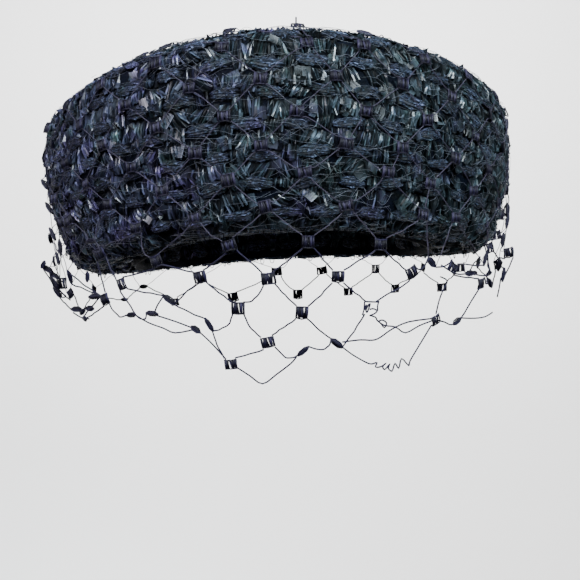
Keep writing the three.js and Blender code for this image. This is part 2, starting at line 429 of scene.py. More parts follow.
def brim_dip(shape, height):
    """How much lower the brim's sides are than its front at a height."""
    return np.interp(height, [0, shape.brim_height], [shape.rim_dip, shape.roll_dip])


def wall_side(shape, share):
    """Half width of the brim's wall at a share of its height: a parabola through foot, bulge and head."""
    middle = shape.bulge_at
    foot = (share - middle) * (share - 1) / middle
    bulge = share * (share - 1) / (middle * (middle - 1))
    head = share * (share - middle) / (1 - middle)
    return foot * shape.turn_side + bulge * shape.bulge_side + head * shape.roll_side


def brim_face(shape):
    """The brim's face from the head opening, out under the turn, up the wall and over the roll."""
    foot, head = shape.turn_radius, shape.brim_height - shape.roll_radius
    bend = np.radians(np.linspace(-90, TURN_END, BEND_STEPS))
    share = np.linspace(*WALL_SHARES, WALL_STEPS)
    roll = np.linspace(0, shape.roll_end, ROLL_STEPS)
    lap = shape.crown_wall - shape.seam_lap
    side = np.concatenate([
        [shape.head_side + lap],
        shape.turn_side - shape.turn_radius * (1 - np.cos(bend)),
        wall_side(shape, share),
        shape.roll_side - shape.roll_radius * (1 - np.cos(roll)),
    ])
    height = np.concatenate([
        [shape.brim_edge],
        foot + shape.turn_radius * np.sin(bend),
        foot + (head - foot) * share,
        head + shape.roll_radius * np.sin(roll),
    ])
    front = side + shape.brim_oval
    front[0] = shape.head_front + lap
    return Face(side, front, height, brim_dip(shape, height))


def crown_face(shape):
    """The crown's face from the head opening to the middle of its top."""
    known = np.array([section.height for section in CROWN_SECTIONS])
    angle = np.linspace(0, math.pi / 2, CROWN_STEPS)
    height = np.sin(angle)
    width = np.interp(height, known, [section.width for section in CROWN_SECTIONS])
    reach = np.interp(height, known, [section.length for section in CROWN_SECTIONS])
    side = width * (shape.head_side + shape.crown_wall)
    front = reach * (shape.head_front + shape.crown_wall)
    return Face(side, front, height * shape.crown_top, shape.rim_dip * (1 - height))


# Meshes

def new_object(name, mesh):
    """A mesh as a scene object at the origin."""
    made = bpy.data.objects.new(name, mesh)
    bpy.context.scene.collection.objects.link(made)
    return made


def new_mesh(name, points, faces, smooth=True):
    """A plain mesh."""
    mesh = bpy.data.meshes.new(name)
    mesh.from_pydata([tuple(point) for point in points], [], faces)
    mesh.polygons.foreach_set("use_smooth", [smooth] * len(mesh.polygons))
    mesh.update()
    return mesh


def shell_mesh(name, face, lift_out, lift_in, runs, turns):
    """A closed wall between two lifts of a face. A face that ends on its axis closes there."""
    line = [(run, lift_out) for run in runs] + [(run, lift_in) for run in reversed(runs)]
    angles = np.arange(turns) * FULL_TURN / turns
    points, rings = [], []
    for run, lift in line:
        pole = face.along(face.side, run) < ON_AXIS
        ring = face.at(run, angles[:1] if pole else angles, lift)
        if pole:
            ring[0, :2] = 0
        rings.append((len(points), len(ring)))
        points.extend(ring)
    faces = []
    for (first, count), (after, next_count) in zip(rings, rings[1:] + rings[:1]):
        for i in range(turns):
            j = i + 1
            corners = [first + i % count, first + j % count, after + j % next_count, after + i % next_count]
            corners = list(dict.fromkeys(corners))
            if len(corners) > 2:
                faces.append(corners)
    return new_mesh(name, points, faces)


def store(mesh, label, values, kind="FLOAT"):
    """Keeps a value for each point of a mesh."""
    field = "vector" if kind == "FLOAT_VECTOR" else "value"
    mesh.attributes.new(label, kind, "POINT").data.foreach_set(field, np.asarray(values).ravel())


def shade_points(mesh, shade):
    """Keeps how light each point of a motif is painted: on the straw, painted shade in hollows, gaps and
    edges, and each strip with its own random tone; on the net, each strand's own random tone.
    """
    store(mesh, "shade", np.asarray(shade, float))
    return mesh


def relief_mesh(name, x, y, z, shade):
    """A small relief over a grid of points, with its grid as its UV map."""
    rows, columns = x.shape
    points = np.stack([x, y, z], -1).reshape(-1, 3)
    index = np.arange(rows * columns).reshape(rows, columns)
    corners = np.stack([index[:-1, :-1], index[:-1, 1:], index[1:, 1:], index[1:, :-1]], -1).reshape(-1, 4)
    mesh = new_mesh(name, points, corners.tolist(), smooth=False)
    grid = np.stack(np.meshgrid(np.linspace(0, 1, columns), np.linspace(0, 1, rows)), -1).reshape(-1, 2)
    mesh.uv_layers.new(name="weave").data.foreach_set("uv", grid[corners.ravel()].ravel())
    return shade_points(mesh, shade)


# Points along a pad, and how far out the edge of a pad or a fold begins
PAD_STEPS, MOTIF_EDGE = 7, 0.99

# How far a fibre stands up in a pad, and how unevenly from fibre to fibre and along each
FIBRE_RISE, FIBRE_SWAY, FIBRE_KNOBS = 0.00042, 0.00015, 0.0001

# How far a fold's foot lies above the dark ground
FOLD_FOOT = 0.0002


def pad_motif(name, straw, rng):
    """A matt eye-shaped bundle of fibres, tucked under at both ends.

    t runs along the pad and w across it, both from -1 to 1. Every second line is a fibre's ridge."""
    count = 2 * straw.pad_fibres + 1
    t, w = np.meshgrid(np.linspace(-1, 1, PAD_STEPS), np.linspace(-1, 1, count))
    ridge = (np.arange(count) % 2)[:, None]
    uneven = rng.normal(0, 1, (count, 1))
    end_width = 0.25
    taper = end_width + (1 - end_width) * (1 - np.abs(t) ** 2.4) ** 0.75
    bow = rng.uniform(-0.2, 0.2) * (1 - t**2) + rng.uniform(-0.12, 0.12) * t
    x = straw.pad_length / 2 * (t + 0.1 * uneven * np.abs(t))
    ragged = np.where(np.abs(w) > 0.7, 0.08, 0.04) * rng.normal(0, 1, t.shape)
    y = straw.pad_height / 2 * (w * taper + bow + 0.05 * uneven + ragged)
    swell = (1 - t**4) * (1 - 0.6 * w**2)
    fibre_rise = FIBRE_RISE + FIBRE_SWAY * uneven + FIBRE_KNOBS * rng.normal(0, 1, t.shape)
    z = straw.pad_rise * swell + ridge * fibre_rise * taper - straw.sink
    # Painted shade: rim and ends nearly black, valleys between fibres darker than ridges; each fibre's tone
    # random
    edge = np.maximum(np.abs(w), np.abs(t)) > MOTIF_EDGE
    shade = np.where(edge, 0.1, np.clip((0.6 + 0.4 * ridge) * (1 + 0.2 * uneven), 0.2, 1.6))
    return relief_mesh(name, x, y, np.where(np.abs(w) > MOTIF_EDGE, -straw.sink, z), shade)


def pleat_motif(name, straw, rng):
    """A group of narrow ribbon folds, each with a flat face, its own slant and a gap beside it painted dark.

    s runs across the group and t up it, both from -1 to 1. The folds start low under the pad above them and
    lift at their lower ends."""
    widths = rng.uniform(0.5, 1.5, straw.pleats)
    ends = np.concatenate([[0], np.cumsum(widths)]) / widths.sum() * 2 - 1
    columns = np.concatenate([[first, first + 0.25 * (last - first), last - 0.05 * (last - first)]
                              for first, last in zip(ends, ends[1:])] + [[1]])
    s, t = np.meshgrid(columns, (-1, rng.uniform(-0.3, 0.3), 1))

    def each_fold(values):
        return np.repeat(values, 3)[:len(columns)]

    folds = straw.pleats + 1
    stand, slant = rng.uniform(0.25, 0.95, straw.pleats), 0.3 * rng.normal(0, 1, straw.pleats)
    rise = np.concatenate([[0, up - tip, up + tip] for up, tip in zip(stand, slant)] + [[0]])
    lean = rng.uniform(-0.3, 0.3) + 0.1 * each_fold(rng.normal(0, 1, folds))
    reach = 1 + 0.2 * each_fold(rng.normal(0, 1, folds))
    x = straw.pleat_width / 2 * (s + lean * t)
    y = straw.pleat_height / 2 * t * reach
    bend = each_fold(rng.normal(0, 1, folds))
    tops_and_ends = [t > MOTIF_EDGE, t < -MOTIF_EDGE]
    arch = np.select(tops_and_ends, [0.25, 0.75 + 0.3 * bend], 1 - 0.2 * bend)
    z = straw.pleat_rise * np.clip(rise, 0, 1.1) * arch - straw.sink + FOLD_FOOT
    tone = np.clip(0.9 * np.exp(rng.normal(0, 1, straw.pleats)), 0.12, 3.4)
    # Painted shade: gaps nearly black, each fold's rising side darker than its face, tops and lower ends
    # darker
    light = np.concatenate([[0.05, 0.75 * own, own] for own in tone] + [[0.05]])
    return relief_mesh(name, x, y, z, light * np.select(tops_and_ends, [0.2, 0.6], 1))


def plate(corners, thickness):
    """Points and faces of a thin plate with four corners, thickened away from its front."""
    corners = np.asarray(corners, float)
    normal = np.cross(corners[1] - corners[0], corners[3] - corners[0])
    normal /= np.linalg.norm(normal)
    points = np.concatenate([corners, corners - normal * thickness])
    sides = [(i, (i + 1) % 4, (i + 1) % 4 + 4, i + 4) for i in range(4)]
    return points, [(0, 1, 2, 3), (7, 6, 5, 4)] + [tuple(reversed(side)) for side in sides]


# A flap's ribbon: its thickness, the length of its loose corner, and how low and high its points may lie
RIBBON_THICKNESS, LOOSE_CORNER = 0.00025, 0.0016
FLAP_LOW, FLAP_HIGH = -0.0012, (0.0012, 0.0024)

# How light the corners of a facet are painted beside each other: a painted gradient of light and shade across
# it
PAINTED_DARK_TO_LIGHT = (0.25, 0.25, 1.5, 1.5)


def flap_motif(name, straw, rng):
    """A ribbon folded flat: a wide facet, a narrow one turned back from it, a loose corner and an end."""
    points, faces, shade = [], [], []

    def facet(across, up, rise_across, rise_up, base, skew):
        """A thin plate between two places across and two up, which rises both ways and is skewed."""
        (x0, x1), (y0, y1) = across, up
        made, sides = plate([(x + skew * y, y, base + rise_across * x + rise_up * y)
                             for x, y in ((x0, y0), (x1, y0), (x1, y1), (x0, y1))], RIBBON_THICKNESS)
        faces.extend(tuple(len(points) + k for k in side) for side in sides)
        points.extend(made)
        tone = np.clip(0.7 * np.exp(0.5 * rng.normal()), 0.25, 1.8) * rng.uniform(0.7, 1.2, 4)
        # Painted light and shade: a gradient from dark to light corners across each facet
        tone *= np.roll(PAINTED_DARK_TO_LIGHT, rng.integers(0, 4))
        shade.extend([*tone, *tone])

    tilt_across, tilt_up = rng.uniform(-0.22, 0.22), rng.uniform(-0.4, 0.15)
    half, tall = straw.flap_size / 2, straw.flap_size * rng.uniform(0.42, 0.58)
    skew = rng.uniform(-0.3, 0.3)
    wide = (-half * rng.uniform(0.7, 1), half * rng.uniform(0.6, 0.9))
    facet(wide, (-tall, tall), tilt_across, tilt_up, base=-0.0001, skew=skew)
    turned = rng.choice([-1, 1])
    narrow = sorted((turned * half * 0.75, turned * half * 1.35))
    upper = tall * rng.uniform(0.6, 1)
    facet(narrow, (-tall * 0.9, upper), -turned * rng.uniform(0.5, 1.1), 0.1, base=0.0019, skew=skew)
    lower = -tall * rng.uniform(0.7, 1)
    corner = (-half * 0.5, half * rng.uniform(0.2, 0.7))
    facet(corner, (lower - LOOSE_CORNER, lower), 0.1, rng.uniform(0.3, 0.9), base=0.0026, skew=0.2)
    end = (-half * 1.3, -half * 0.6)
    facet(end, (-tall * 0.5, tall), rng.uniform(0.2, 0.8), -0.2, base=0.0013, skew=-skew)
    points = np.array(points)
    points[:, 2] = np.clip(points[:, 2], FLAP_LOW, rng.uniform(*FLAP_HIGH))
    mesh = new_mesh(name, points, faces, smooth=False)
    used = np.array([loop.vertex_index for loop in mesh.loops])
    square = np.array([(0, 0), (1, 0), (1, 1), (0, 1)])
    weave = 0.3 * square[used % 4] + 0.37 * (used // 8)[:, None]
    mesh.uv_layers.new(name="weave").data.foreach_set("uv", weave.ravel())
    return shade_points(mesh, shade)


def tube_points(line, radius, sides):
    """Points and faces of a closed tube along a short line of points."""
    line = np.asarray(line, float)
    tangent = np.gradient(line, axis=0)
    tangent /= np.linalg.norm(tangent, axis=1, keepdims=True)
    guide = np.array([0.0, 0.0, 1.0]) if abs(tangent[0, 2]) < 0.9 else np.array([1.0, 0.0, 0.0])
    first = np.cross(tangent, guide)
    first /= np.linalg.norm(first, axis=1, keepdims=True)
    second = np.cross(tangent, first)
    angle = np.arange(sides) * FULL_TURN / sides
    ring = np.cos(angle)[None, :, None] * first[:, None] + np.sin(angle)[None, :, None] * second[:, None]
    points = (line[:, None] + radius * ring).reshape(-1, 3)
    faces = []
    for k in range(len(line) - 1):
        for i in range(sides):
            j = (i + 1) % sides
            faces.append((k * sides + i, k * sides + j, (k + 1) * sides + j, (k + 1) * sides + i))
    last = (len(line) - 1) * sides
    faces.append(tuple(range(sides - 1, -1, -1)))
    faces.append(tuple(range(last, last + sides)))
    return points, faces


STRAND_SIDES = 4
STRAND_TONES = (0.3, 0.7, 1.4)

# How far the strands of a woven dot stand out, how unevenly, how far its binding does, and how unevenly the
# strands of a spindle do
STRAND_BULGE, BULGE_SWAY, BINDING_BULGE, SPINDLE_SWAY = 0.00035, 0.00015, 0.0004, 0.00045


def strand_mesh(name, strands, rng):
    """A small motif of tubes, each given as its line and radius, and each with its own depth of dye."""
    points, faces, shade = [], [], []
    for line, radius in strands:
        made, sides = tube_points(line, radius, STRAND_SIDES)
        faces.extend(tuple(len(points) + k for k in side) for side in sides)
        points.extend(made)
        shade.extend([rng.choice(STRAND_TONES)] * len(made))
    return shade_points(new_mesh(name, points, faces), shade)


def dot_motif(name, veil, rng):
    """A woven dot: strands side by side, bound across at their top and bottom."""
    half, strands = veil.dot_size / 2, []
    end, outermost = 0.95 * half, 0.86
    for place in np.linspace(-outermost, outermost, veil.strands):
        sway, slant = (0.05, 0.08) if abs(place) < 0.8 else (0.02, 0.02)
        x = half * (place + sway * rng.normal())
        lean, bulge = slant * half * rng.normal(), STRAND_BULGE + BULGE_SWAY * rng.normal()
        line = [(x - lean, -end, 0), (x, 0, bulge), (x + lean, end, 0)]
        strands.append((np.clip(line, -half, half), veil.strand_radius * rng.uniform(0.8, 1.25)))
    for y in (-end, end):
        sag = 0.1 * half * rng.normal()
        line = [(-half, y, 0), (0, y + sag, BINDING_BULGE), (half, y, 0)]
        strands.append((line, 0.8 * veil.strand_radius))
    return strand_mesh(name, strands, rng)


def spindle_motif(name, veil, rng):
    """A woven dot that is pulled tight, so that its strands close up to a spindle."""
    half, strands = veil.dot_size / 2, []
    for place in np.linspace(-1, 1, veil.strands):
        y, z = 0.42 * half * place, SPINDLE_SWAY * rng.normal()
        tip, middle = 1.15 * half, 0.5 * half
        line = [(-tip, 0.1 * y, 0), (-middle, y, z), (middle, y, z), (tip, 0.1 * y, 0)]
        strands.append((line, veil.strand_radius * rng.uniform(0.8, 1.1)))
    return strand_mesh(name, strands, rng)


# Geometry node trees

def tree_node(tree, kind, inputs=(), **settings):
    """A node with its settings, and its inputs set to a value or linked from another node's socket."""
    made = tree.nodes.new(kind)
    for name, value in settings.items():
        setattr(made, name, value)
    for key, value in dict(inputs).items():
        if isinstance(value, bpy.types.NodeSocket):
            tree.links.new(value, made.inputs[key])
        else:
            made.inputs[key].default_value = value
    return made


def once(kind, name, make, *inputs):
    """A thing of Blender's by its name, made the first time it is asked for."""
    kept = getattr(bpy.data, kind)
    return kept[name] if name in kept else make(name, *inputs)


def new_tree(name, sockets):
    """An empty geometry node tree with its inputs, and one geometry output."""
    tree = bpy.data.node_groups.new(name, "GeometryNodeTree")
    tree.interface.new_socket("Geometry", in_out="INPUT", socket_type="NodeSocketGeometry")
    for label, kind in sockets:
        tree.interface.new_socket(label, in_out="INPUT", socket_type=kind)
    tree.interface.new_socket("Geometry", in_out="OUTPUT", socket_type="NodeSocketGeometry")
    return tree, tree.nodes.new("NodeGroupInput"), tree.nodes.new("NodeGroupOutput")


def end_tree(tree, source, result, geometry):
    """Ends a tree with plain mesh in the material that was asked for."""
    real = tree_node(tree, "GeometryNodeRealizeInstances", {"Geometry": geometry})
    dressed = tree_node(tree, "GeometryNodeSetMaterial", {
        "Geometry": real.outputs[0], "Material": source.outputs["Material"]})
    tree.links.new(dressed.outputs[0], result.inputs[0])
    return tree


def scatter_tree(name):
    """Puts a motif of a collection on each point, by the point's own motif, turn and size."""
    tree, source, result = new_tree(name, [
        ("Motifs", "NodeSocketCollection"), ("Material", "NodeSocketMaterial")])

    def stored(label, kind):
        read = tree_node(tree, "GeometryNodeInputNamedAttribute", {"Name": label}, data_type=kind)
        return read.outputs["Attribute"]

    motifs = tree_node(tree, "GeometryNodeCollectionInfo", {
        "Collection": source.outputs["Motifs"], "Separate Children": True, "Reset Children": True})
    turn = tree_node(tree, "FunctionNodeEulerToRotation", {"Euler": stored("turn", "FLOAT_VECTOR")})
    placed = tree_node(tree, "GeometryNodeInstanceOnPoints", {
        "Points": source.outputs["Geometry"],
        "Instance": motifs.outputs[0],
        "Pick Instance": True,
        "Instance Index": stored("motif", "INT"),
        "Rotation": turn.outputs[0],
        "Scale": stored("size", "FLOAT_VECTOR"),
    })
    return end_tree(tree, source, result, placed.outputs[0])


def thread_tree(name):
    """Turns the edges of a mesh into smooth round threads."""
    tree, source, result = new_tree(name, [
        ("Radius", "NodeSocketFloat"), ("Sides", "NodeSocketInt"), ("Steps", "NodeSocketInt"),
        ("Material", "NodeSocketMaterial")])
    curve = tree_node(tree, "GeometryNodeMeshToCurve", {"Mesh": source.outputs["Geometry"]})
    smooth = tree_node(
        tree, "GeometryNodeCurveSplineType", {"Curve": curve.outputs[0]}, spline_type="CATMULL_ROM")
    fine = tree_node(tree, "GeometryNodeSetSplineResolution", {
        "Geometry": smooth.outputs[0], "Resolution": source.outputs["Steps"]})
    ring = tree_node(tree, "GeometryNodeCurvePrimitiveCircle", {
        "Resolution": source.outputs["Sides"], "Radius": source.outputs["Radius"]})
    tube = tree_node(tree, "GeometryNodeCurveToMesh", {
        "Curve": fine.outputs[0], "Profile Curve": ring.outputs[0], "Fill Caps": True})
    return end_tree(tree, source, result, tube.outputs[0])


def grow(made, tree, values):
    """Runs a tree on an object and keeps the result as its plain mesh."""
    modifier = made.modifiers.new(tree.name, "NODES")
    modifier.node_group = tree
    for item in tree.interface.items_tree:
        if item.in_out == "INPUT" and item.name in values:
            modifier[item.identifier] = values[item.name]
    bpy.context.view_layer.update()
    graph = bpy.context.evaluated_depsgraph_get()
    mesh = bpy.data.meshes.new_from_object(made.evaluated_get(graph), depsgraph=graph)
    made.modifiers.clear()
    seed_mesh, made.data = made.data, mesh
    mesh.name = made.name
    bpy.data.meshes.remove(seed_mesh)
    return made


def thread_mesh(name, lines):
    """A mesh of bare edges along lines of points."""
    points, edges = [], []
    for line in lines:
        first = len(points)
        points.extend(tuple(point) for point in line)
        edges.extend((first + k, first + k + 1) for k in range(len(line) - 1))
    mesh = bpy.data.meshes.new(name)
    mesh.from_pydata(points, edges, [])
    return mesh


def make_threads(name, lines, radius, material, sides=5, steps=2, tone=0.0):
    """A piece of round threads along lines of points, all of one tone."""
    made = new_object(name, thread_mesh(name, lines))
    tree = once("node_groups", "round_threads", thread_tree)
    grow(made, tree, {"Radius": radius, "Sides": sides, "Steps": steps, "Material": material})
    mesh = made.data
    mesh.polygons.foreach_set("use_smooth", [True] * len(mesh.polygons))
    for label, value in (("tone", tone), ("shade", 1.0)):
        store(mesh, label, [value] * len(mesh.vertices))
    return made


class Cells:
    """Places for motifs, gathered row by row."""

    def __init__(self):
        self.place, self.turn, self.size, self.motif, self.tone = [], [], [], [], []

    def add(self, places, axes, spins, sizes, motifs, tones):
        """Adds motifs at places, turned to their axes and then spun about the last of them."""
        for place, axis, spin, size, motif, tone in zip(places, axes, spins, sizes, motifs, tones):
            turn = Matrix(axis.tolist()) @ Matrix.Rotation(spin, 3, "Z")
            self.place.append(place)
            self.turn.append(tuple(turn.to_euler()))
            self.size.append(size)
            self.motif.append(motif)
            self.tone.append(tone)

    def scatter(self, name, motifs, material):
        """A piece with a motif at each place."""
        mesh = bpy.data.meshes.new(name)
        mesh.from_pydata([tuple(place) for place in self.place], [], [])
        store(mesh, "turn", self.turn, "FLOAT_VECTOR")
        store(mesh, "size", self.size, "FLOAT_VECTOR")
        store(mesh, "motif", self.motif, "INT")
        store(mesh, "tone", self.tone)
        tree = once("node_groups", "scatter_motifs", scatter_tree)
        return grow(new_object(name, mesh), tree, {"Motifs": motifs, "Material": material})


# How many unlike motifs of each kind there are
MOTIF_KINDS = {"pad": 8, "pleat": 12, "flap": 10, "dot": 5, "spindle": 5}


def motif_set(name, make, look, seed):
    """A collection of a few unlike motifs, outside the scene."""
    rng = np.random.default_rng(seed)
    group = bpy.data.collections.new(name)
    for i in range(MOTIF_KINDS[name]):
        label = f"{name}_{i:02d}"
        group.objects.link(bpy.data.objects.new(label, make(label, look, rng)))
    return group


def discard(group):
    """Deletes a collection of motifs that has served."""
    for motif in list(group.objects):
        mesh = motif.data
        bpy.data.objects.remove(motif)
        bpy.data.meshes.remove(mesh)
    bpy.data.collections.remove(group)


# Materials

# How much paler the straw under the brim is painted, as painted light where little light comes; there its
# copies of the materials also lose most of their gloss, as painted shade on their reflections
UNDERSIDE_PAINTED_LIGHT = 2.2

# How far to each side of the middle the straw's painted violet light goes on changing, and how much more of
# it is painted on the wearer's right and less on the left, as a violet cast of light
VIOLET_REACH, VIOLET_LIGHT_CAST = 0.11, 0.5


class Nodes:
    """Adds nodes to a shader tree. Each method gives the output of the node that it adds."""

    def __init__(self, tree):
        self.tree = tree

    def add(self, kind, inputs=(), output=0, **settings):
        """Any node."""
        return tree_node(self.tree, kind, inputs, **settings).outputs[output]

    def place(self):
        """Where a point lies on the hat."""
        return self.add("ShaderNodeTexCoord", output="Object")

    def weave(self):
        """Where a point lies on its motif."""
        return self.add("ShaderNodeUVMap", uv_map="weave")

    def stored(self, label):
        """A value that is kept with the mesh."""
        return self.add("ShaderNodeAttribute", output="Fac", attribute_name=label)

    def noise(self, vector, scale, detail, **more):
        """Cloudy noise."""
        return self.add("ShaderNodeTexNoise", {"Vector": vector, "Scale": scale, "Detail": detail, **more})

    def spread(self, value, low, high, to_low=0.0, to_high=1.0):
        """A value drawn out from one range to another, and kept inside it."""
        return self.add("ShaderNodeMapRange", {
            "Value": value, "From Min": low, "From Max": high, "To Min": to_low, "To Max": to_high})

    def maths(self, operation, *values, **settings):
        """Arithmetic."""
        return self.add("ShaderNodeMath", dict(enumerate(values)), operation=operation, **settings)

    def scaled(self, colour, factor):
        """A colour made lighter or darker."""
        return self.add("ShaderNodeVectorMath", {0: colour, "Scale": factor}, operation="SCALE")

    def mixed(self, share, first, second):
        """A colour between two others."""
        return self.add("ShaderNodeMix", {0: share, 6: first, 7: second}, output=2, data_type="RGBA")

    def bump(self, height, strength, distance):
        """A surface raised by a height."""
        return self.add("ShaderNodeBump", {"Height": height, "Strength": strength, "Distance": distance})

    def feed(self, node, **outputs):
        """Links outputs to the inputs of a node."""
        for label, output in outputs.items():
            self.tree.links.new(output, node.inputs[label.replace("_", " ")])


def rgba(colour, factor=1):
    """A colour made lighter or darker, with its alpha."""
    return (*(factor * part for part in colour), 1)


def straw_dye_tree(name):
    """Shared by all straw: leans the dye to violet or teal in patches, and each motif to its own tone.

    It also paints a violet cast of light on the wearer's right, and darkens each point by its painted shade
    as far as Relief asks.
    """
    tree = bpy.data.node_groups.new(name, "ShaderNodeTree")
    for in_out, kind, labels in (
        ("INPUT", "NodeSocketColor", ("Dye", "Violet", "Teal")),
        ("INPUT", "NodeSocketFloat", ("Relief",)),
        ("OUTPUT", "NodeSocketColor", ("Colour",)),
        ("OUTPUT", "NodeSocketFloat", ("Grain", "Raised")),
    ):
        for label in labels:
            tree.interface.new_socket(label, in_out=in_out, socket_type=kind)
    source, result = tree.nodes.new("NodeGroupInput").outputs, tree.nodes.new("NodeGroupOutput")
    nodes = Nodes(tree)
    place, raised = nodes.place(), nodes.stored("shade")

    def patches(scale, shift, low, high):
        """Cloudy patches, as a share."""
        moved = nodes.add("ShaderNodeMapping", {"Vector": place, "Location": (shift, shift, shift)})
        return nodes.spread(nodes.noise(moved, scale, detail=3.0, Roughness=0.6), low, high)

    across = nodes.add("ShaderNodeSeparateXYZ", {0: place}, output="X")
    # Painted light: a violet cast, painted more on the wearer's right and less on the left
    painted_violet_light = nodes.spread(across, VIOLET_REACH, -VIOLET_REACH, -VIOLET_LIGHT_CAST, VIOLET_LIGHT_CAST)
    violet_patches = patches(scale=60, shift=0.3, low=0.5, high=0.75)
    violet_patches_and_painted_light = nodes.maths("ADD", violet_patches, painted_violet_light, use_clamp=True)
    violet = nodes.mixed(violet_patches_and_painted_light, source["Dye"], source["Violet"])
    teal_patches = patches(scale=110, shift=1.7, low=0.5, high=0.72)
    teal = nodes.mixed(teal_patches, violet, source["Teal"])
    grain = patches(scale=900, shift=0.9, low=0.3, high=0.7)
    depth = nodes.spread(nodes.stored("tone"), 0, 1, 0.55, 1.35)
    fleck = nodes.spread(grain, 0, 1, 0.72, 1.2)
    # Painted shade: the point's colour is multiplied by its painted shade, as far as Relief asks
    lit = nodes.add("ShaderNodeMix", {0: source["Relief"], 2: 1.0, 3: raised}, data_type="FLOAT")
    strength = nodes.maths("MULTIPLY", nodes.maths("MULTIPLY", depth, fleck), lit)
    nodes.feed(result, Colour=nodes.scaled(teal, strength), Grain=grain, Raised=raised)
    return tree


def new_material(name, **sockets):
    """A material with its shader's uniform sockets set, what adds its nodes, and its shader."""
    made = bpy.data.materials.new(name)
    made.use_nodes = True
    shader = made.node_tree.nodes["Principled BSDF"]
    for label, value in sockets.items():
        shader.inputs[label.replace("_", " ")].default_value = value
    return made, Nodes(made.node_tree), shader


def straw_dye(nodes, straw, colour, relief=0.0, cast=1.0):
    """The outputs of the shared dye in a material, with its casts as deep as the dye asks."""
    shared = once("node_groups", "straw_dye", straw_dye_tree)
    return tree_node(nodes.tree, "ShaderNodeGroup", {
        "Dye": colour,
        "Violet": rgba(straw.violet_dye, cast),
        "Teal": rgba(straw.teal_dye, cast),
        "Relief": relief,
    }, node_tree=shared).outputs


def pad_material(name, straw, painted_underside):
    """Matt fibres, lengthwise."""
    # Under the brim: painted light makes the dye paler, and painted shade takes most of the gloss
    made, nodes, shader = new_material(name, Specular_IOR_Level=0.02 if painted_underside else 0.06)
    dyed = straw_dye(nodes, straw, rgba(straw.pad_dye, UNDERSIDE_PAINTED_LIGHT if painted_underside else 1), relief=1.0)
    weave = nodes.weave()

    def wires(scale, turn, dark, light):
        """Thin light lines along one direction, as a factor."""
        drawn = nodes.add("ShaderNodeMapping", {
            "Vector": weave, "Rotation": (0, 0, turn), "Scale": scale}, vector_type="TEXTURE")
        level = nodes.maths("SUBTRACT", nodes.noise(drawn, scale=1.0, detail=1.0), 0.5)
        return nodes.spread(nodes.maths("ABSOLUTE", level), 0, 0.08, light, dark)

    fibre = wires(scale=(0.4, 0.2, 1), turn=0.06, dark=0.32, light=2.6)
    hatch = wires(scale=(0.1, 0.6, 1), turn=-0.3, dark=0.55, light=2.1)
    nodes.feed(
        shader,
        Base_Color=nodes.scaled(dyed["Colour"], nodes.maths("MULTIPLY", fibre, hatch)),
        Roughness=nodes.spread(dyed["Grain"], 0, 1, 0.42, 0.7),
        Normal=nodes.bump(fibre, strength=1.0, distance=0.001),
    )
    return made


def ribbon_material(name, straw, painted_underside):
    """Folded ribbon. Its gloss follows each strip's tone and the painted shade, so that painted hollows lose
    their reflection; the copy under the brim is painted paler and has almost no gloss.
    """
    made, nodes, shader = new_material(name, Specular_IOR_Level=0.02, Coat_Roughness=0.24)
    # Under the brim: painted light makes the dye paler, and the coat is nearly taken away as painted shade
    dyed = straw_dye(nodes, straw, rgba(straw.ribbon_dye, UNDERSIDE_PAINTED_LIGHT if painted_underside else 1), relief=1.0)
    drawn = nodes.add("ShaderNodeMapping", {"Vector": nodes.weave(), "Scale": (30, 2.2, 1)})
    stripe = nodes.spread(nodes.noise(drawn, scale=1.0, detail=2.0), 0.33, 0.67, 0.3, 1.7)
    # Painted shade on the gloss: the coat follows each strip's tone and its painted shade
    gloss_by_tone_and_painted_shade = nodes.maths("MULTIPLY", dyed["Raised"], stripe)
    crinkle = nodes.noise(nodes.place(), scale=420.0, detail=2.0)
    nodes.feed(
        shader,
        Base_Color=nodes.scaled(dyed["Colour"], stripe),
        Roughness=nodes.spread(dyed["Grain"], 0, 1, 0.5, 0.8),
        Coat_Weight=nodes.spread(gloss_by_tone_and_painted_shade, 0, 3.0, 0, 0.04 if painted_underside else 0.65),
        Normal=nodes.bump(crinkle, strength=0.25, distance=0.0006),
    )
    return made


def fibre_material(name, straw):
    """Loose fibres, paler than the plait."""
    made, nodes, shader = new_material(name, Specular_IOR_Level=0.3, Roughness=0.5)
    nodes.feed(shader, Base_Color=straw_dye(nodes, straw, rgba(straw.fibre_dye))["Colour"])
    return made


def core_material(name, straw):
    """The dark ground that shows between the pads and folds, painted nearly black as the shade in the weave's
    gaps.
    """
    made, nodes, shader = new_material(name, Roughness=0.7, Specular_IOR_Level=0.02)
    dyed = straw_dye(nodes, straw, rgba(straw.core_dye), cast=0.12)
    rough = nodes.bump(dyed["Grain"], strength=0.5, distance=0.0006)
    nodes.feed(shader, Base_Color=dyed["Colour"], Normal=rough)
    return made


def net_material(name, veil):
    """Dark twisted thread with a slight sheen, and a painted sheen: paler where it is drawn tight over the
    brim.
    """
    made, nodes, shader = new_material(name, Specular_IOR_Level=0.07)
    twist = nodes.noise(nodes.place(), scale=1400.0, detail=2.0)
    slack = nodes.mixed(twist, rgba(veil.net_dye), rgba(veil.net_dye, 2.6))
    # Painted sheen: thread and dots over the brim are mixed toward the paler sheen colour
    dyed = nodes.mixed(nodes.stored("tone"), slack, rgba(veil.painted_sheen_dye))
    nodes.feed(
        shader,
        Base_Color=nodes.scaled(dyed, nodes.stored("shade")),
        Roughness=nodes.spread(twist, 0, 1, 0.4, 0.65),
    )
    return made


def ground_material(name, stage):
    """Pale seamless paper."""
    made, nodes, shader = new_material(name, Roughness=0.9)
    cloud = nodes.noise(nodes.place(), scale=6.0, detail=3.0)
    nodes.feed(shader, Base_Color=nodes.mixed(cloud, rgba(stage.floor_dye), rgba(stage.floor_dye, 0.98)))
    return made


# Straw pieces

STRAW_MOTIFS = {"pad": pad_motif, "pleat": pleat_motif, "flap": flap_motif}

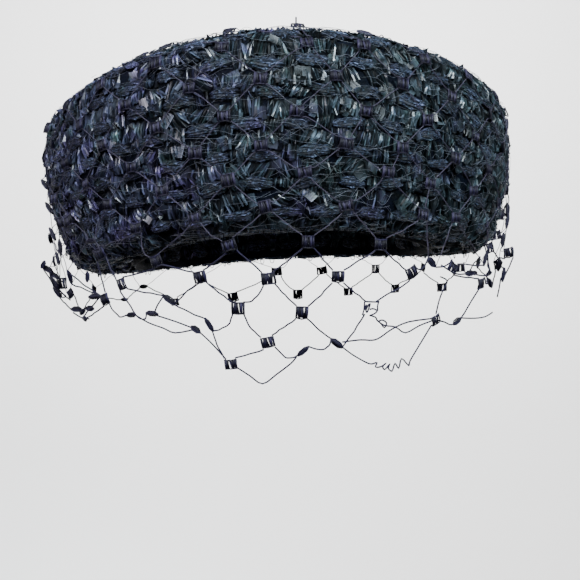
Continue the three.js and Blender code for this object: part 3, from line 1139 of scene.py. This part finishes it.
# What is laid in each row of the plait: the motif; how far up and along from a pad's place, in pitches; how
# unevenly it is placed and turned; its width and height; the share of the places that have it, which may be a
# share of a setting; and how far it stands off the face
Lay = namedtuple("Lay", "motif up along sway spin wide tall share setting stand", defaults=(1, 1, 1, None, 0))
PLAIT = (
    Lay("pad", 0, 0, 0.04, 0.09),
    Lay("pleat", 0, 0.5, 0.04, 0.15, wide=0.75, tall=0.8),
    Lay("pleat", 0.5, 0, 0.06, 0.25, share=0.95),
    Lay("pleat", 0.5, 0.5, 0.06, 0.25, share=0.95),
    Lay("flap", 0.5, 0.25, 0.12, 0.4, setting="flap_share"),
    Lay("flap", 0.45, 0.75, 0.12, 0.4, share=0.45, setting="flap_share"),
    Lay("flap", 0.05, 0.5, 0.08, 0.4, wide=0.8, share=0.6, setting="flap_share"),
    Lay("flap", 0.4, 0.1, 0.22, 0.7, wide=0.9, tall=0.7, share=0.28, stand=0.0014),
)

# One side of a wall: how far it lies off the outer face, which way it faces, and how deep its plait is
WallSide = namedtuple("WallSide", "lift facing depth")

# How near the ends of a profile a motif may lie
FIRST_MARGIN, LAST_MARGIN = 0.003, 0.002

# How near a row's count has to be to the wall's own, as a share of it, and the fewest pads in a row
NEAR_COUNT, FEWEST_PADS = 0.12, 3

# How far motifs may be stretched to fill their row, and how their sizes vary
STRETCH_LIMITS, SIZE_LIMITS = (0.7, 1.1), (0.8, 1.15)

# How deep the crown's ground lies beside the brim's, and how thick a loop is beside a loose fibre
CROWN_SINK, LOOP_THICKNESS = 0.6, 2.4


def row_count(straw, girth):
    """Pads in a row: the wall's own number where it nearly fits, so that the rows line up."""
    count = girth / straw.pad_pitch
    near = abs(count - straw.wall_pads) < NEAR_COUNT * straw.wall_pads
    return straw.wall_pads if near else max(FEWEST_PADS, round(count))


def lay_row(cells, part, face, straw, run, side, rng):
    """Lays one motif along a row of the plait."""
    count = row_count(straw, face.girth(run))
    step = FULL_TURN / count
    stretch = np.clip(face.girth(run) / count / straw.pad_pitch, *STRETCH_LIMITS)
    start = ROW_STARTS[round((run - straw.first_row) / straw.row_pitch) % len(ROW_STARTS)]
    share = part.share * (getattr(straw, part.setting) if part.setting else 1)
    kept = rng.uniform(0, 1, count) < share
    runs = run + (part.up + part.sway * rng.normal(0, 1, count)) * straw.row_pitch
    runs = np.clip(runs, FIRST_MARGIN, face.length - LAST_MARGIN)
    turns = (np.arange(count) + start) * step + (part.along + part.sway * rng.normal(0, 1, count)) * step
    sizes = rng.uniform(*SIZE_LIMITS, (count, 3)) * (part.wide * stretch, part.tall, side.depth)
    places = face.at(runs, turns, side.lift + side.facing * part.stand * side.depth)
    axes = face.axes(runs, turns, side.lift, side.facing)
    spins = part.spin * rng.normal(0, 1, count)
    motifs = rng.integers(0, MOTIF_KINDS[part.motif], count)
    tones = rng.uniform(0, 1, count)
    cells.add(*(values[kept] for values in (places, axes, spins, sizes, motifs, tones)))


def straw_piece(made, *nodes):
    """A finished straw piece rides on the hat, and the solids it stands for are hidden."""
    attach(made, BODY)
    if nodes:
        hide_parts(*nodes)


def join(name, pieces):
    """Several pieces as one, with their places in one mesh."""
    with bpy.context.temp_override(active_object=pieces[0], selected_editable_objects=pieces):
        bpy.ops.object.join()
    pieces[0].name = name
    pieces[0].data.name = name
    return pieces[0]


def dress_face(name, face, straw, rows, side, seed, painted_underside=False):
    """Lays the plait on one side of a wall: a piece of matt pads and a piece of folds."""
    motifs = {motif: motif_set(motif, make, straw, straw.seed + i)
              for i, (motif, make) in enumerate(STRAW_MOTIFS.items())}
    cells, rng = {motif: Cells() for motif in STRAW_MOTIFS}, np.random.default_rng(seed)
    for run in rows:
        for part in PLAIT:
            lay_row(cells[part.motif], part, face, straw, run, side, rng)
    # Under the brim these are copies of the materials with painted light and shade
    fibre = once("materials", "dull_pad_fibre" if painted_underside else "matt_pad_fibre", pad_material, straw, painted_underside)
    ribbon = once("materials", "dull_ribbon" if painted_underside else "glossy_ribbon", ribbon_material, straw, painted_underside)
    straw_piece(cells["pad"].scatter(f"{name}_pads", motifs["pad"], fibre))
    straw_piece(join(f"{name}_folds", [
        cells[motif].scatter(f"{name}_{motif}s", motifs[motif], ribbon) for motif in ("pleat", "flap")]))
    for group in motifs.values():
        discard(group)


def dark_ground(straw):
    """The material of the ground under the plait, painted nearly black as shade; the edge loops take it too.
    """
    return once("materials", "dark_ground", core_material, straw)


def lay_ground(name, face, straw, sink, wall, grid):
    """The dark ground inside a wall, which takes the place of the wall's solid."""
    steps, turns = grid
    runs = list(np.linspace(0, face.length, steps))
    made = new_object(f"{name}_ground", shell_mesh(f"{name}_ground", face, -sink, sink - wall, runs, turns))
    made.data.materials.append(dark_ground(straw))
    straw_piece(made, name)


# Loose fibres: the run where the straw that has them begins, how far inside it they start, their length, how
# unevenly they rise, bow and wave, and how far they lie off the face and arch
STRAY_FIRST, STRAY_AFTER, STRAY_BEFORE = 0.012, 0.004, 0.01
STRAY_LENGTH = (0.006, 0.022)
STRAY_RISE, STRAY_BOW, STRAY_WAVE = 0.004, 0.0022, 0.001
STRAY_LIFT, STRAY_ARCH = 0.0009, 0.0014

# Loops along the brim's lowest line: the runs where they hang, and their width and length
EDGE_RUN, LOOP_WIDTH, LOOP_LENGTH = (0.019, 0.025), (0.0006, 0.0016), (0.0014, 0.0034)

# Points along each fibre and each loop
STRAY_STEPS, LOOP_STEPS = 6, 7


def stray_lines(face, straw, rng):
    """Loose fibres that lie across the plait, between a first and a last run of the profile."""
    first, last = STRAY_FIRST, face.length - LAST_MARGIN
    t = np.linspace(0, 1, STRAY_STEPS)
    arch, wave = np.sin(math.pi * t), np.sin(FULL_TURN * t)
    lines = []
    for _ in range(straw.strays):
        start = rng.uniform(first + STRAY_AFTER, last - STRAY_BEFORE)
        reach, rise = rng.uniform(*STRAY_LENGTH), rng.normal(0, STRAY_RISE)
        curve = rng.normal(0, STRAY_BOW) * arch + rng.normal(0, STRAY_WAVE) * wave
        run = np.clip(start + rise * t + curve, first, last)
        turn = rng.uniform(0, FULL_TURN) + t * reach / face.along(face.side, start)
        lift = STRAY_LIFT + rng.uniform(0, STRAY_ARCH) * arch
        lines.append(face.at(run, turn, lift))
    return lines


def loop_lines(face, straw, rng):
    """Small thread loops that hang along the brim's lowest line and stand on its crest."""
    t = np.linspace(0, 1, LOOP_STEPS)
    arch = np.sin(math.pi * t)
    lines = []
    for i in range(straw.edge_loops):
        turn = (i + rng.uniform(-0.4, 0.4)) * FULL_TURN / straw.edge_loops
        run, wide, long = (rng.uniform(*limits) for limits in (EDGE_RUN, LOOP_WIDTH, LOOP_LENGTH))
        turns = turn + wide * np.sin(math.pi * (t - 0.5)) / face.along(face.side, run)
        line = face.at(run, turns, 0.0002)
        line[:, 2] -= long * arch**0.7
        lines.append(line)
    crest = face.run[np.argmax(face.height)]
    for loop in CREST_LOOPS:
        lift = 0.0006 + loop.rise * arch + 0.0002 * rng.normal(0, 1, len(t))
        lines.append(face.at(crest, np.radians(loop.start + (loop.end - loop.start) * t), lift))
    return lines


class HAT_OT_make_brim(bpy.types.Operator):
    """Make the upturned brim: its dark ground, the plait on both of its faces, and its loose fibres"""

    bl_idname = "hat.make_brim"
    bl_label = "Make brim"

    def execute(self, context):
        shape, straw = context.scene.hat_shape, context.scene.hat_straw
        face = brim_face(shape)
        lay_ground("brim", face, straw, straw.sink, shape.brim_wall, BRIM_GRID)
        rows = np.arange(straw.first_row, face.length, straw.row_pitch)
        outside, inside = WallSide(0, 1, 1), WallSide(-shape.brim_wall, -1, 0.9)
        # The two rows under the brim take copies of the materials with painted light and shade
        dress_face("brim_underside", face, straw, rows[:2], outside, straw.seed + 9, painted_underside=True)
        dress_face("brim", face, straw, rows[2:], outside, straw.seed + 10)
        dress_face("brim_inside", face, straw, rows[1:-2], inside, straw.seed + 11)
        rng = np.random.default_rng(straw.seed + 12)
        fibre = once("materials", "loose_fibre", fibre_material, straw)
        straw_piece(make_threads("brim_stray_fibres", stray_lines(face, straw, rng), straw.fibre_radius,
                                 fibre, sides=3, steps=1))
        straw_piece(make_threads("brim_edge_loops", loop_lines(face, straw, rng),
                                 LOOP_THICKNESS * straw.fibre_radius, dark_ground(straw)))
        return {"FINISHED"}


class HAT_OT_make_crown(bpy.types.Operator):
    """Make the crown: its dark ground and the plait on both of its faces"""

    bl_idname = "hat.make_crown"
    bl_label = "Make crown"

    def execute(self, context):
        shape, straw = context.scene.hat_shape, context.scene.hat_straw
        face = crown_face(shape)
        lay_ground("crown", face, straw, CROWN_SINK * straw.sink, shape.crown_wall, CROWN_GRID)
        rows = np.arange(straw.first_row, face.length - straw.row_pitch / 2, straw.row_pitch)
        outside, inside = WallSide(0, 1, 0.6), WallSide(-shape.crown_wall, -1, 0.5)
        dress_face("crown", face, straw, rows, outside, straw.seed + 20)
        dress_face("crown_inside", face, straw, rows, inside, straw.seed + 21)
        return {"FINISHED"}


# Net pieces

# The last row that lies on the brim, and the level over the roll where the dots stop leaning further back
LAST_WALL_ROW, LEVEL_ROW = 3, -2.6

# A share of the brim's profile that ends on its wall, below the roll
BELOW_ROLL = 0.7

# How much a dot still sways that is pulled into its place, as a share
PULLED_SWAY = 0.2

# Where the net hangs at a side, in degrees from the front, and over how many degrees that comes on
SIDE_START, SIDE_END, SIDE_BLEND = 45, 150, 30

# The level between rows where the net comes loose from the brim, and over how many rows
LOOSE_START, LOOSE_BLEND = 2.5, 2

# The row from which the net behind is drawn forward most
DRAWN_ROW = 4

# How far the net stands off the brim at the wearer's right, and how far each row closes up at the left, where
# it also flares less
RIGHT_STAND, LEFT_CLOSE, LEFT_FLARE = 0.0025, 0.0013, 0.3

# How much the dots twist at the sides and where the net hangs free, and the share of the free ones that pinch
SIDE_TWIST, FREE_TWIST, PINCHED_SHARE = 0.7, 0.9, 0.75

# How unevenly the dots lie: on the brim, and how much more where the net hangs free
Sway = namedtuple("Sway", "on_brim free")
TURN_SWAY = Sway(math.radians(0.4), math.radians(1.6))
OUT_SWAY = Sway(0.0004, 0.0016)
UP_SWAY = Sway(0.0004, 0.003)
TILT_SWAY = Sway(0.1, 0.5)


# Where a thread is tied to a dot, in halves of its width, how far in front of it, and the points along it
TIED_AT, TIED_LIFT, THREAD_STEPS = 0.9, 0.0002, 7

# The length and width of a spindle where its threads are tied, beside a flat dot's
SPINDLE_LONG, SPINDLE_WIDE = 1.25, 0.1

# The row over the roll where threads begin to keep less to the straw, and how much they still do
SLACK_ROW, SLACK_HUG = -3, 0.6

# How a hanging thread sags: its least and its greatest depth, how unevenly it swings, and how it waves
SAG_LEAST, SAG_MOST, SAG_SWAY, THREAD_WAVE = 0.0003, 0.006, 0.7, 0.00022


def between_0_and_1(value):
    """A share kept inside its limits."""
    return np.clip(value, 0, 1)


class Net:
    """Where the net's dots and threads are.

    Rows count down from the brim's bulge, and those over the roll are negative."""

    def __init__(self, shape, veil):
        self.shape, self.veil = shape, veil
        self.face = brim_face(shape)
        wall = (self.face.height > shape.turn_radius) & (self.face.run < self.face.length * BELOW_ROLL)
        self.top_run = np.interp(VEIL_ROWS[0].height, self.face.height[wall], self.face.run[wall])
        self.rng = np.random.default_rng(veil.seed)
        self.pulls = {(pull.row, pull.degrees): pull for pull in DOT_PULLS}
        self.bunched = {(dot.row, dot.degrees): dot for dot in SIDE_DOTS}
        self.dots = {}
        for row in range(-ROWS_OVER_ROLL, len(VEIL_ROWS)):
            for column in range(veil.columns):
                self.add_dot(row, column)

    def degrees(self, row, column):
        """A dot's angle from the front, from -180 to 180; odd rows lie half a step on."""
        turned = math.degrees(self.veil.turn) + (column + (row % 2) / 2) * 360 / self.veil.columns
        return round((turned + 180) % 360 - 180, 3)

    def point(self, level, turn, out=0.0):
        """A point of the net at a level between rows, which may be a fraction, and a turn from the front."""
        if level < 0:
            return self.face.at(self.top_run - level * self.veil.row_pitch, turn, self.veil.lift + out)
        side, height, gather = (
            np.interp(level, range(len(VEIL_ROWS)), [getattr(row, field) for row in VEIL_ROWS])
            for field in ("side", "height", "gather"))
        dip = brim_dip(self.shape, height) - gather
        return self.ring(side + out, turn, height - dip * math.sin(turn) ** 2)

    def ring(self, side, turn, height):
        """A point of the oval of a half width."""
        return np.array([side * math.sin(turn), -(side + self.shape.brim_oval) * math.cos(turn), height])

    def hang(self, degrees, height, out=0.0):
        """A point of the hanging net at an angle from the front and a height."""
        rows = VEIL_ROWS[::-1]
        side = np.interp(height, [row.height for row in rows], [row.side for row in rows])
        return self.ring(side + out, math.radians(degrees), height)

    def add_dot(self, row, column):
        """Adds a dot if its row reaches that far."""
        degrees = self.degrees(row, column)
        if row >= 0 and not -VEIL_ROWS[row].right <= degrees <= VEIL_ROWS[row].left:
            return
        sway, chance = self.rng.normal(0, 1, 4), self.rng.uniform()
        side = self.bunched.get((row, degrees))
        made = self.bunched_dot(side) if side else self.laid_dot(row, degrees, sway, chance)
        self.dots[(row, column)] = {"row": row, "degrees": degrees, **made}

    def bunched_dot(self, side):
        """A dot that hangs in a bunch at a side."""
        turn = math.radians(side.at)
        twist = Matrix.Rotation(math.radians(side.tilt), 3, "Z")
        return {"place": self.hang(side.at, side.height, side.out), "turn": turn, "pinched": side.pinched,
                "axes": self.axes(side.row, 0.3 * turn) @ np.array(twist)}

    def laid_dot(self, row, degrees, sway, chance):
        """A dot at its place in the net, which hangs loose below the brim, most of all at its sides."""
        veil, away = self.veil, abs(degrees)
        pull = self.pulls.get((row, degrees), NO_PULL)
        seen = 1 if pull is NO_PULL else PULLED_SWAY
        aside = between_0_and_1((away - SIDE_START) / SIDE_BLEND)
        aside *= between_0_and_1((SIDE_END - away) / SIDE_BLEND)
        free = aside * between_0_and_1((row - LOOSE_START) / LOOSE_BLEND)
        behind = between_0_and_1((180 - away) / 90) * between_0_and_1(row / DRAWN_ROW) * (away > 90)
        if degrees < 0:
            drawn, flare, stand = veil.draw_right, veil.flare, RIGHT_STAND * between_0_and_1(row + 1)
        else:
            drawn, flare = -veil.draw_left, LEFT_FLARE * veil.flare
            stand = -LEFT_CLOSE * np.clip(row, 0, LAST_WALL_ROW)
        turn = behind * drawn + math.radians(degrees + pull.along)
        turn += (TURN_SWAY.on_brim + TURN_SWAY.free * free) * seen * sway[0]
        out = aside * stand + flare * free * (1 - behind)
        out += (OUT_SWAY.on_brim + OUT_SWAY.free * free) * sway[1]
        place = self.point(row, turn, out)
        place[2] += pull.up + (UP_SWAY.on_brim + UP_SWAY.free * free) * seen * sway[2]
        if row > LAST_WALL_ROW:
            place = self.hang(math.degrees(turn), place[2], out)
        tilt = math.radians(pull.tilt) + (TILT_SWAY.on_brim + TILT_SWAY.free * free * seen) * sway[3]
        swing = (FREE_TWIST * free + SIDE_TWIST * aside) * sway[1]
        twist = Matrix.Rotation(swing, 3, "Y") @ Matrix.Rotation(tilt, 3, "Z")
        return {"place": place, "turn": turn,
                "pinched": pull.pinched or (pull is NO_PULL and chance < PINCHED_SHARE * free),
                "axes": self.axes(max(row, LEVEL_ROW), turn) @ np.array(twist)}

    def axes(self, level, turn):
        """Directions along the row, up and out, as columns."""
        step_turn, step_level, last = 0.01, 0.3, len(VEIL_ROWS) - 1
        east = self.point(level, turn + step_turn) - self.point(level, turn - step_turn)
        above, below = max(level - step_level, -ROWS_OVER_ROLL), min(level + step_level, last)
        up = self.point(above, turn) - self.point(below, turn)
        east /= np.linalg.norm(east)
        out = np.cross(east, up)
        out /= np.linalg.norm(out)
        return np.stack([east, np.cross(out, east), out], -1)

    def corner(self, dot, x, y):
        """A point of a dot, in halves of its size along its row and up; a spindle ends in points."""
        half = self.veil.dot_size / 2
        if dot["pinched"]:
            x, y = SPINDLE_LONG * x, SPINDLE_WIDE * y
        return dot["place"] + dot["axes"] @ np.array([x * half, y * half, TIED_LIFT])

    def threads(self, first, last):
        """The lines of points of the threads between dots that leave the rows from first to last."""
        lines = []
        for (row, column), dot in self.dots.items():
            if not first <= row <= last:
                continue
            ahead = column + row % 2
            for below, side in ((ahead, 1), (ahead - 1, -1)):
                other = self.dots.get((row + 1, below % self.veil.columns))
                if other and tuple((end["row"], end["degrees"]) for end in (dot, other)) not in CUT_THREADS:
                    lines.append(self.thread(dot, other, side))
        return lines

    def thread(self, upper, lower, side):
        """One thread from a dot's lower corner to the upper corner of a dot in the next row."""
        start, end = self.corner(upper, TIED_AT * side, -1), self.corner(lower, -TIED_AT * side, 1)
        share = np.linspace(0, 1, THREAD_STEPS)[:, None]
        arch = np.sin(math.pi * share)
        line = start + (end - start) * share
        if upper["row"] < LAST_WALL_ROW:
            swing = (lower["turn"] - upper["turn"] + math.pi) % FULL_TURN - math.pi
            over = np.array([self.point(upper["row"] + s, upper["turn"] + swing * s) for s in share[:, 0]])
            hug = arch**0.5 * (1 if upper["row"] > SLACK_ROW else SLACK_HUG)
            return line * (1 - hug) + over * hug
        span = np.linalg.norm(end - start)
        slack = max(self.veil.mesh_length - span, 0)
        sag = np.array([0, 0, -1]) + SAG_SWAY * self.rng.normal(0, 1, 3) * (1, 1, 0.3)
        depth = min(math.sqrt(3 / 8 * slack * span), SAG_MOST) + SAG_LEAST
        wave = THREAD_WAVE * self.rng.normal(0, 1, line.shape) * arch
        return line + wave + 4 * depth * share * (1 - share) * sag / np.linalg.norm(sag)

    def torn_threads(self):
        """The loose threads of the torn edge, and what is left of the frayed dot."""
        lines = [np.array([self.hang(*place) for place in route]) for route in TORN_ROUTES]
        root = self.point(LOOSE_END.level, math.radians(LOOSE_END.degrees))
        lines.append(root + np.linspace(0, 1, 4)[:, None] * (LOOSE_END.lean, 0, LOOSE_END.rise))
        frayed = next(dot for dot in self.dots.values() if (dot["row"], dot["degrees"]) == FRAYED_DOT)
        for route in FRAYED_STROKES:
            lines.append(np.array([self.corner(frayed, *place) for place in route]))
        return lines


# The row whose slant the small knots take, and their size beside a spindle's
KNOT_ROW, KNOT_SIZE = 6, (0.8, 0.85, 0.85)

# The form of the dots, how their sizes vary, and the limits of their painted sheen on the brim and where the
# net hangs
DOT_FORM, DOT_LIMITS = (1.05, 0.87, 1), (0.9, 1.1)
BRIM_PAINTED_SHEEN, HANGING_PAINTED_SHEEN = (0.15, 0.4), (0, 0.1)


def net_piece(made, *nodes):
    """A finished net piece rides on the hat, and the solids it stands for are hidden."""
    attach(made, BODY)
    if nodes:
        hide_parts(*nodes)


class HAT_OT_make_veil(bpy.types.Operator):
    """Make the net veil: its threads, its woven dots, and the torn place in front"""

    bl_idname = "hat.make_veil"
    bl_label = "Make veil"

    def execute(self, context):
        veil = context.scene.hat_veil
        net, thread = Net(context.scene.hat_shape, veil), once("materials", "net_thread", net_material, veil)
        hanging = net.threads(LAST_WALL_ROW + 1, len(VEIL_ROWS))
        tight = net.threads(-ROWS_OVER_ROLL, LAST_WALL_ROW)
        net_piece(join("veil_threads", [
            make_threads("veil_hanging_threads", hanging, veil.thread_radius, thread),
            # tone=1.0 paints the full sheen on the thread over the brim
            make_threads("veil_wall_threads", tight, veil.wall_radius, thread, tone=1.0),
        ]), "veil")
        torn = net.torn_threads()
        net_piece(make_threads("veil_torn_threads", torn, veil.thread_radius, thread, steps=3))
        dots = motif_set("dot", dot_motif, veil, veil.seed + 1)
        spindles = motif_set("spindle", spindle_motif, veil, veil.seed + 2)
        flat, pinched, rng = Cells(), Cells(), np.random.default_rng(veil.seed + 3)
        for dot in net.dots.values():
            if (dot["row"], dot["degrees"]) != FRAYED_DOT:
                size = rng.uniform(*DOT_LIMITS, 3) * DOT_FORM
                motif = rng.integers(0, MOTIF_KINDS["dot"])
                # The dots over the brim get more painted sheen than the hanging ones
                tone = rng.uniform(*(BRIM_PAINTED_SHEEN if dot["row"] <= LAST_WALL_ROW else HANGING_PAINTED_SHEEN))
                cells = pinched if dot["pinched"] else flat
                cells.add([dot["place"]], [dot["axes"]], [0], [size], [motif], [tone])
        for knot in KNOTS:
            axes = net.axes(KNOT_ROW, math.radians(0.5 * knot.degrees))
            place, tilt = net.hang(knot.degrees, knot.height, knot.out), math.radians(knot.tilt)
            pinched.add([place], [axes], [tilt], [KNOT_SIZE], [0], [0])
        net_piece(flat.scatter("veil_dots", dots, thread))
        net_piece(pinched.scatter("veil_pinched_dots", spindles, thread))
        discard(spindles)
        discard(dots)
        return {"FINISHED"}


# The stage

def look_matrix(stage):
    """The camera's turn from its pitch, yaw and roll."""
    pitch, yaw, roll = stage.camera_pitch, stage.camera_yaw, stage.camera_roll
    ahead = Vector((math.sin(yaw) * math.cos(pitch), math.cos(yaw) * math.cos(pitch), math.sin(pitch)))
    right = ahead.cross(Vector((0, 0, 1))).normalized()
    up = right.cross(ahead)
    leant_right = math.cos(roll) * right - math.sin(roll) * up
    leant_up = math.sin(roll) * right + math.cos(roll) * up
    return Matrix((leant_right, leant_up, -ahead)).transposed()


# Soft square lights: where they stand and look, their size in metres and power in watts, their colour, and
# how wide their light spreads in degrees
Lamp = namedtuple("Lamp", "name place target size power colour spread")
HAT_MIDDLE = (0, 0, 0.02)
COOL = (0.86, 0.955, 1)
LAMPS = (
    Lamp("key", (-0.6, -1.2, 1.6), HAT_MIDDLE, 0.9, 10.2, COOL, 28),
    Lamp("front", (0.6, -1.6, 0.95), HAT_MIDDLE, 0.9, 7.4, COOL, 28),
    Lamp("left", (-1.3, -1.1, 0.6), HAT_MIDDLE, 0.8, 5.0, (0.96, 0.91, 1), 28),
    Lamp("right", (1.3, -1.0, 0.9), HAT_MIDDLE, 0.8, 9.2, (0.86, 0.965, 1), 28),
    Lamp("top", (0.2, 0.1, 1.7), (0, 0, 0), 1.4, 2, (0.93, 0.98, 1), 28),
    Lamp("backdrop", (0, 1.2, 1.6), (0, 3.2, 0), 1.5, 110, (1, 1, 1), 120),
)
ROOM_LIGHT = 0.12

# The round backdrop: the radius of its flat floor, of its bend and the height of its wall, and its sides
PAPER_FLAT, PAPER_BEND, PAPER_HEIGHT, PAPER_SIDES = 2.0, 1.2, 3.8, 64


def add_camera(stage):
    """The camera, at the height of the veil."""
    data = bpy.data.cameras.new("camera")
    data.lens, data.sensor_width = stage.camera_lens, 36
    data.clip_start, data.clip_end = 0.01, 50
    made = bpy.data.objects.new("camera", data)
    bpy.context.scene.collection.objects.link(made)
    made.location = stage.camera_place
    made.rotation_euler = look_matrix(stage).to_euler()
    bpy.context.scene.camera = made


def add_light(lamp):
    """A soft square light that looks at a point."""
    data = bpy.data.lights.new(lamp.name, "AREA")
    data.size, data.energy, data.color = lamp.size, lamp.power, lamp.colour
    data.spread = math.radians(lamp.spread)
    made = bpy.data.objects.new(lamp.name, data)
    bpy.context.scene.collection.objects.link(made)
    made.location = lamp.place
    made.rotation_euler = (Vector(lamp.target) - Vector(lamp.place)).to_track_quat("-Z", "Y").to_euler()


def paper_mesh(name, floor_height):
    """A round sweep of paper: a flat floor that bends up into a wall."""
    bend = np.radians(np.linspace(0, 90, 10))
    line = [(0.01, 0)]
    line += [(PAPER_FLAT + PAPER_BEND * math.sin(a), PAPER_BEND * (1 - math.cos(a))) for a in bend]
    line += [(PAPER_FLAT + PAPER_BEND, PAPER_HEIGHT)]
    turns = np.arange(PAPER_SIDES) * FULL_TURN / PAPER_SIDES
    points = [(r * math.cos(t), r * math.sin(t), floor_height + z) for r, z in line for t in turns]
    faces = [tuple(range(PAPER_SIDES))]
    for first in range(0, (len(line) - 1) * PAPER_SIDES, PAPER_SIDES):
        for i in range(PAPER_SIDES):
            j = (i + 1) % PAPER_SIDES
            faces.append((first + i, first + j, first + PAPER_SIDES + j, first + PAPER_SIDES + i))
    return new_mesh(name, points, faces)


class HAT_OT_make_stage(bpy.types.Operator):
    """Make the camera, the soft lights and the pale ground"""

    bl_idname = "hat.make_stage"
    bl_label = "Make stage"

    def execute(self, context):
        stage = context.scene.hat_stage
        add_camera(stage)
        ground = new_object("ground", paper_mesh("ground", stage.floor_height))
        ground.data.materials.append(once("materials", "pale_paper", ground_material, stage))
        for lamp in LAMPS:
            add_light(lamp)
        world = bpy.data.worlds.new("soft_room")
        world.use_nodes = True
        room = world.node_tree.nodes["Background"].inputs
        room["Color"].default_value = (1, 1, 1, 1)
        room["Strength"].default_value = ROOM_LIGHT
        context.scene.world = world
        return {"FINISHED"}


class HAT_PT_panel(bpy.types.Panel):
    """The hat's settings and the steps that build it"""

    bl_idname = "HAT_PT_panel"
    bl_label = "Veiled straw hat"
    bl_space_type = "VIEW_3D"
    bl_region_type = "UI"
    bl_category = "Hat"

    def draw(self, context):
        for made in PIECE_OPERATORS:
            self.layout.operator(made.bl_idname)
        for name, look in LOOKS.items():
            box = self.layout.box()
            for setting in look.__annotations__:
                box.prop(getattr(context.scene, name), setting)


LOOKS = {"hat_shape": HatShape, "hat_straw": StrawLook, "hat_veil": VeilLook, "hat_stage": StageLook}
PIECE_OPERATORS = (HAT_OT_make_brim, HAT_OT_make_crown, HAT_OT_make_veil, HAT_OT_make_stage)


def register():
    """Adds the settings, the operators and the panel."""
    for name, look in LOOKS.items():
        bpy.utils.register_class(look)
        setattr(bpy.types.Scene, name, PointerProperty(type=look))
    for made in (*PIECE_OPERATORS, HAT_PT_panel):
        bpy.utils.register_class(made)


def unregister():
    """Takes them away again."""
    for made in (HAT_PT_panel, *reversed(PIECE_OPERATORS)):
        bpy.utils.unregister_class(made)
    for name, look in reversed(LOOKS.items()):
        delattr(bpy.types.Scene, name)
        bpy.utils.unregister_class(look)


def main():
    """Builds the hat and its stage."""
    register()
    bpy.ops.hat.make_brim()
    bpy.ops.hat.make_crown()
    bpy.ops.hat.make_veil()
    bpy.ops.hat.make_stage()
    bpy.context.view_layer.update()


if __name__ == "__main__":
    main()
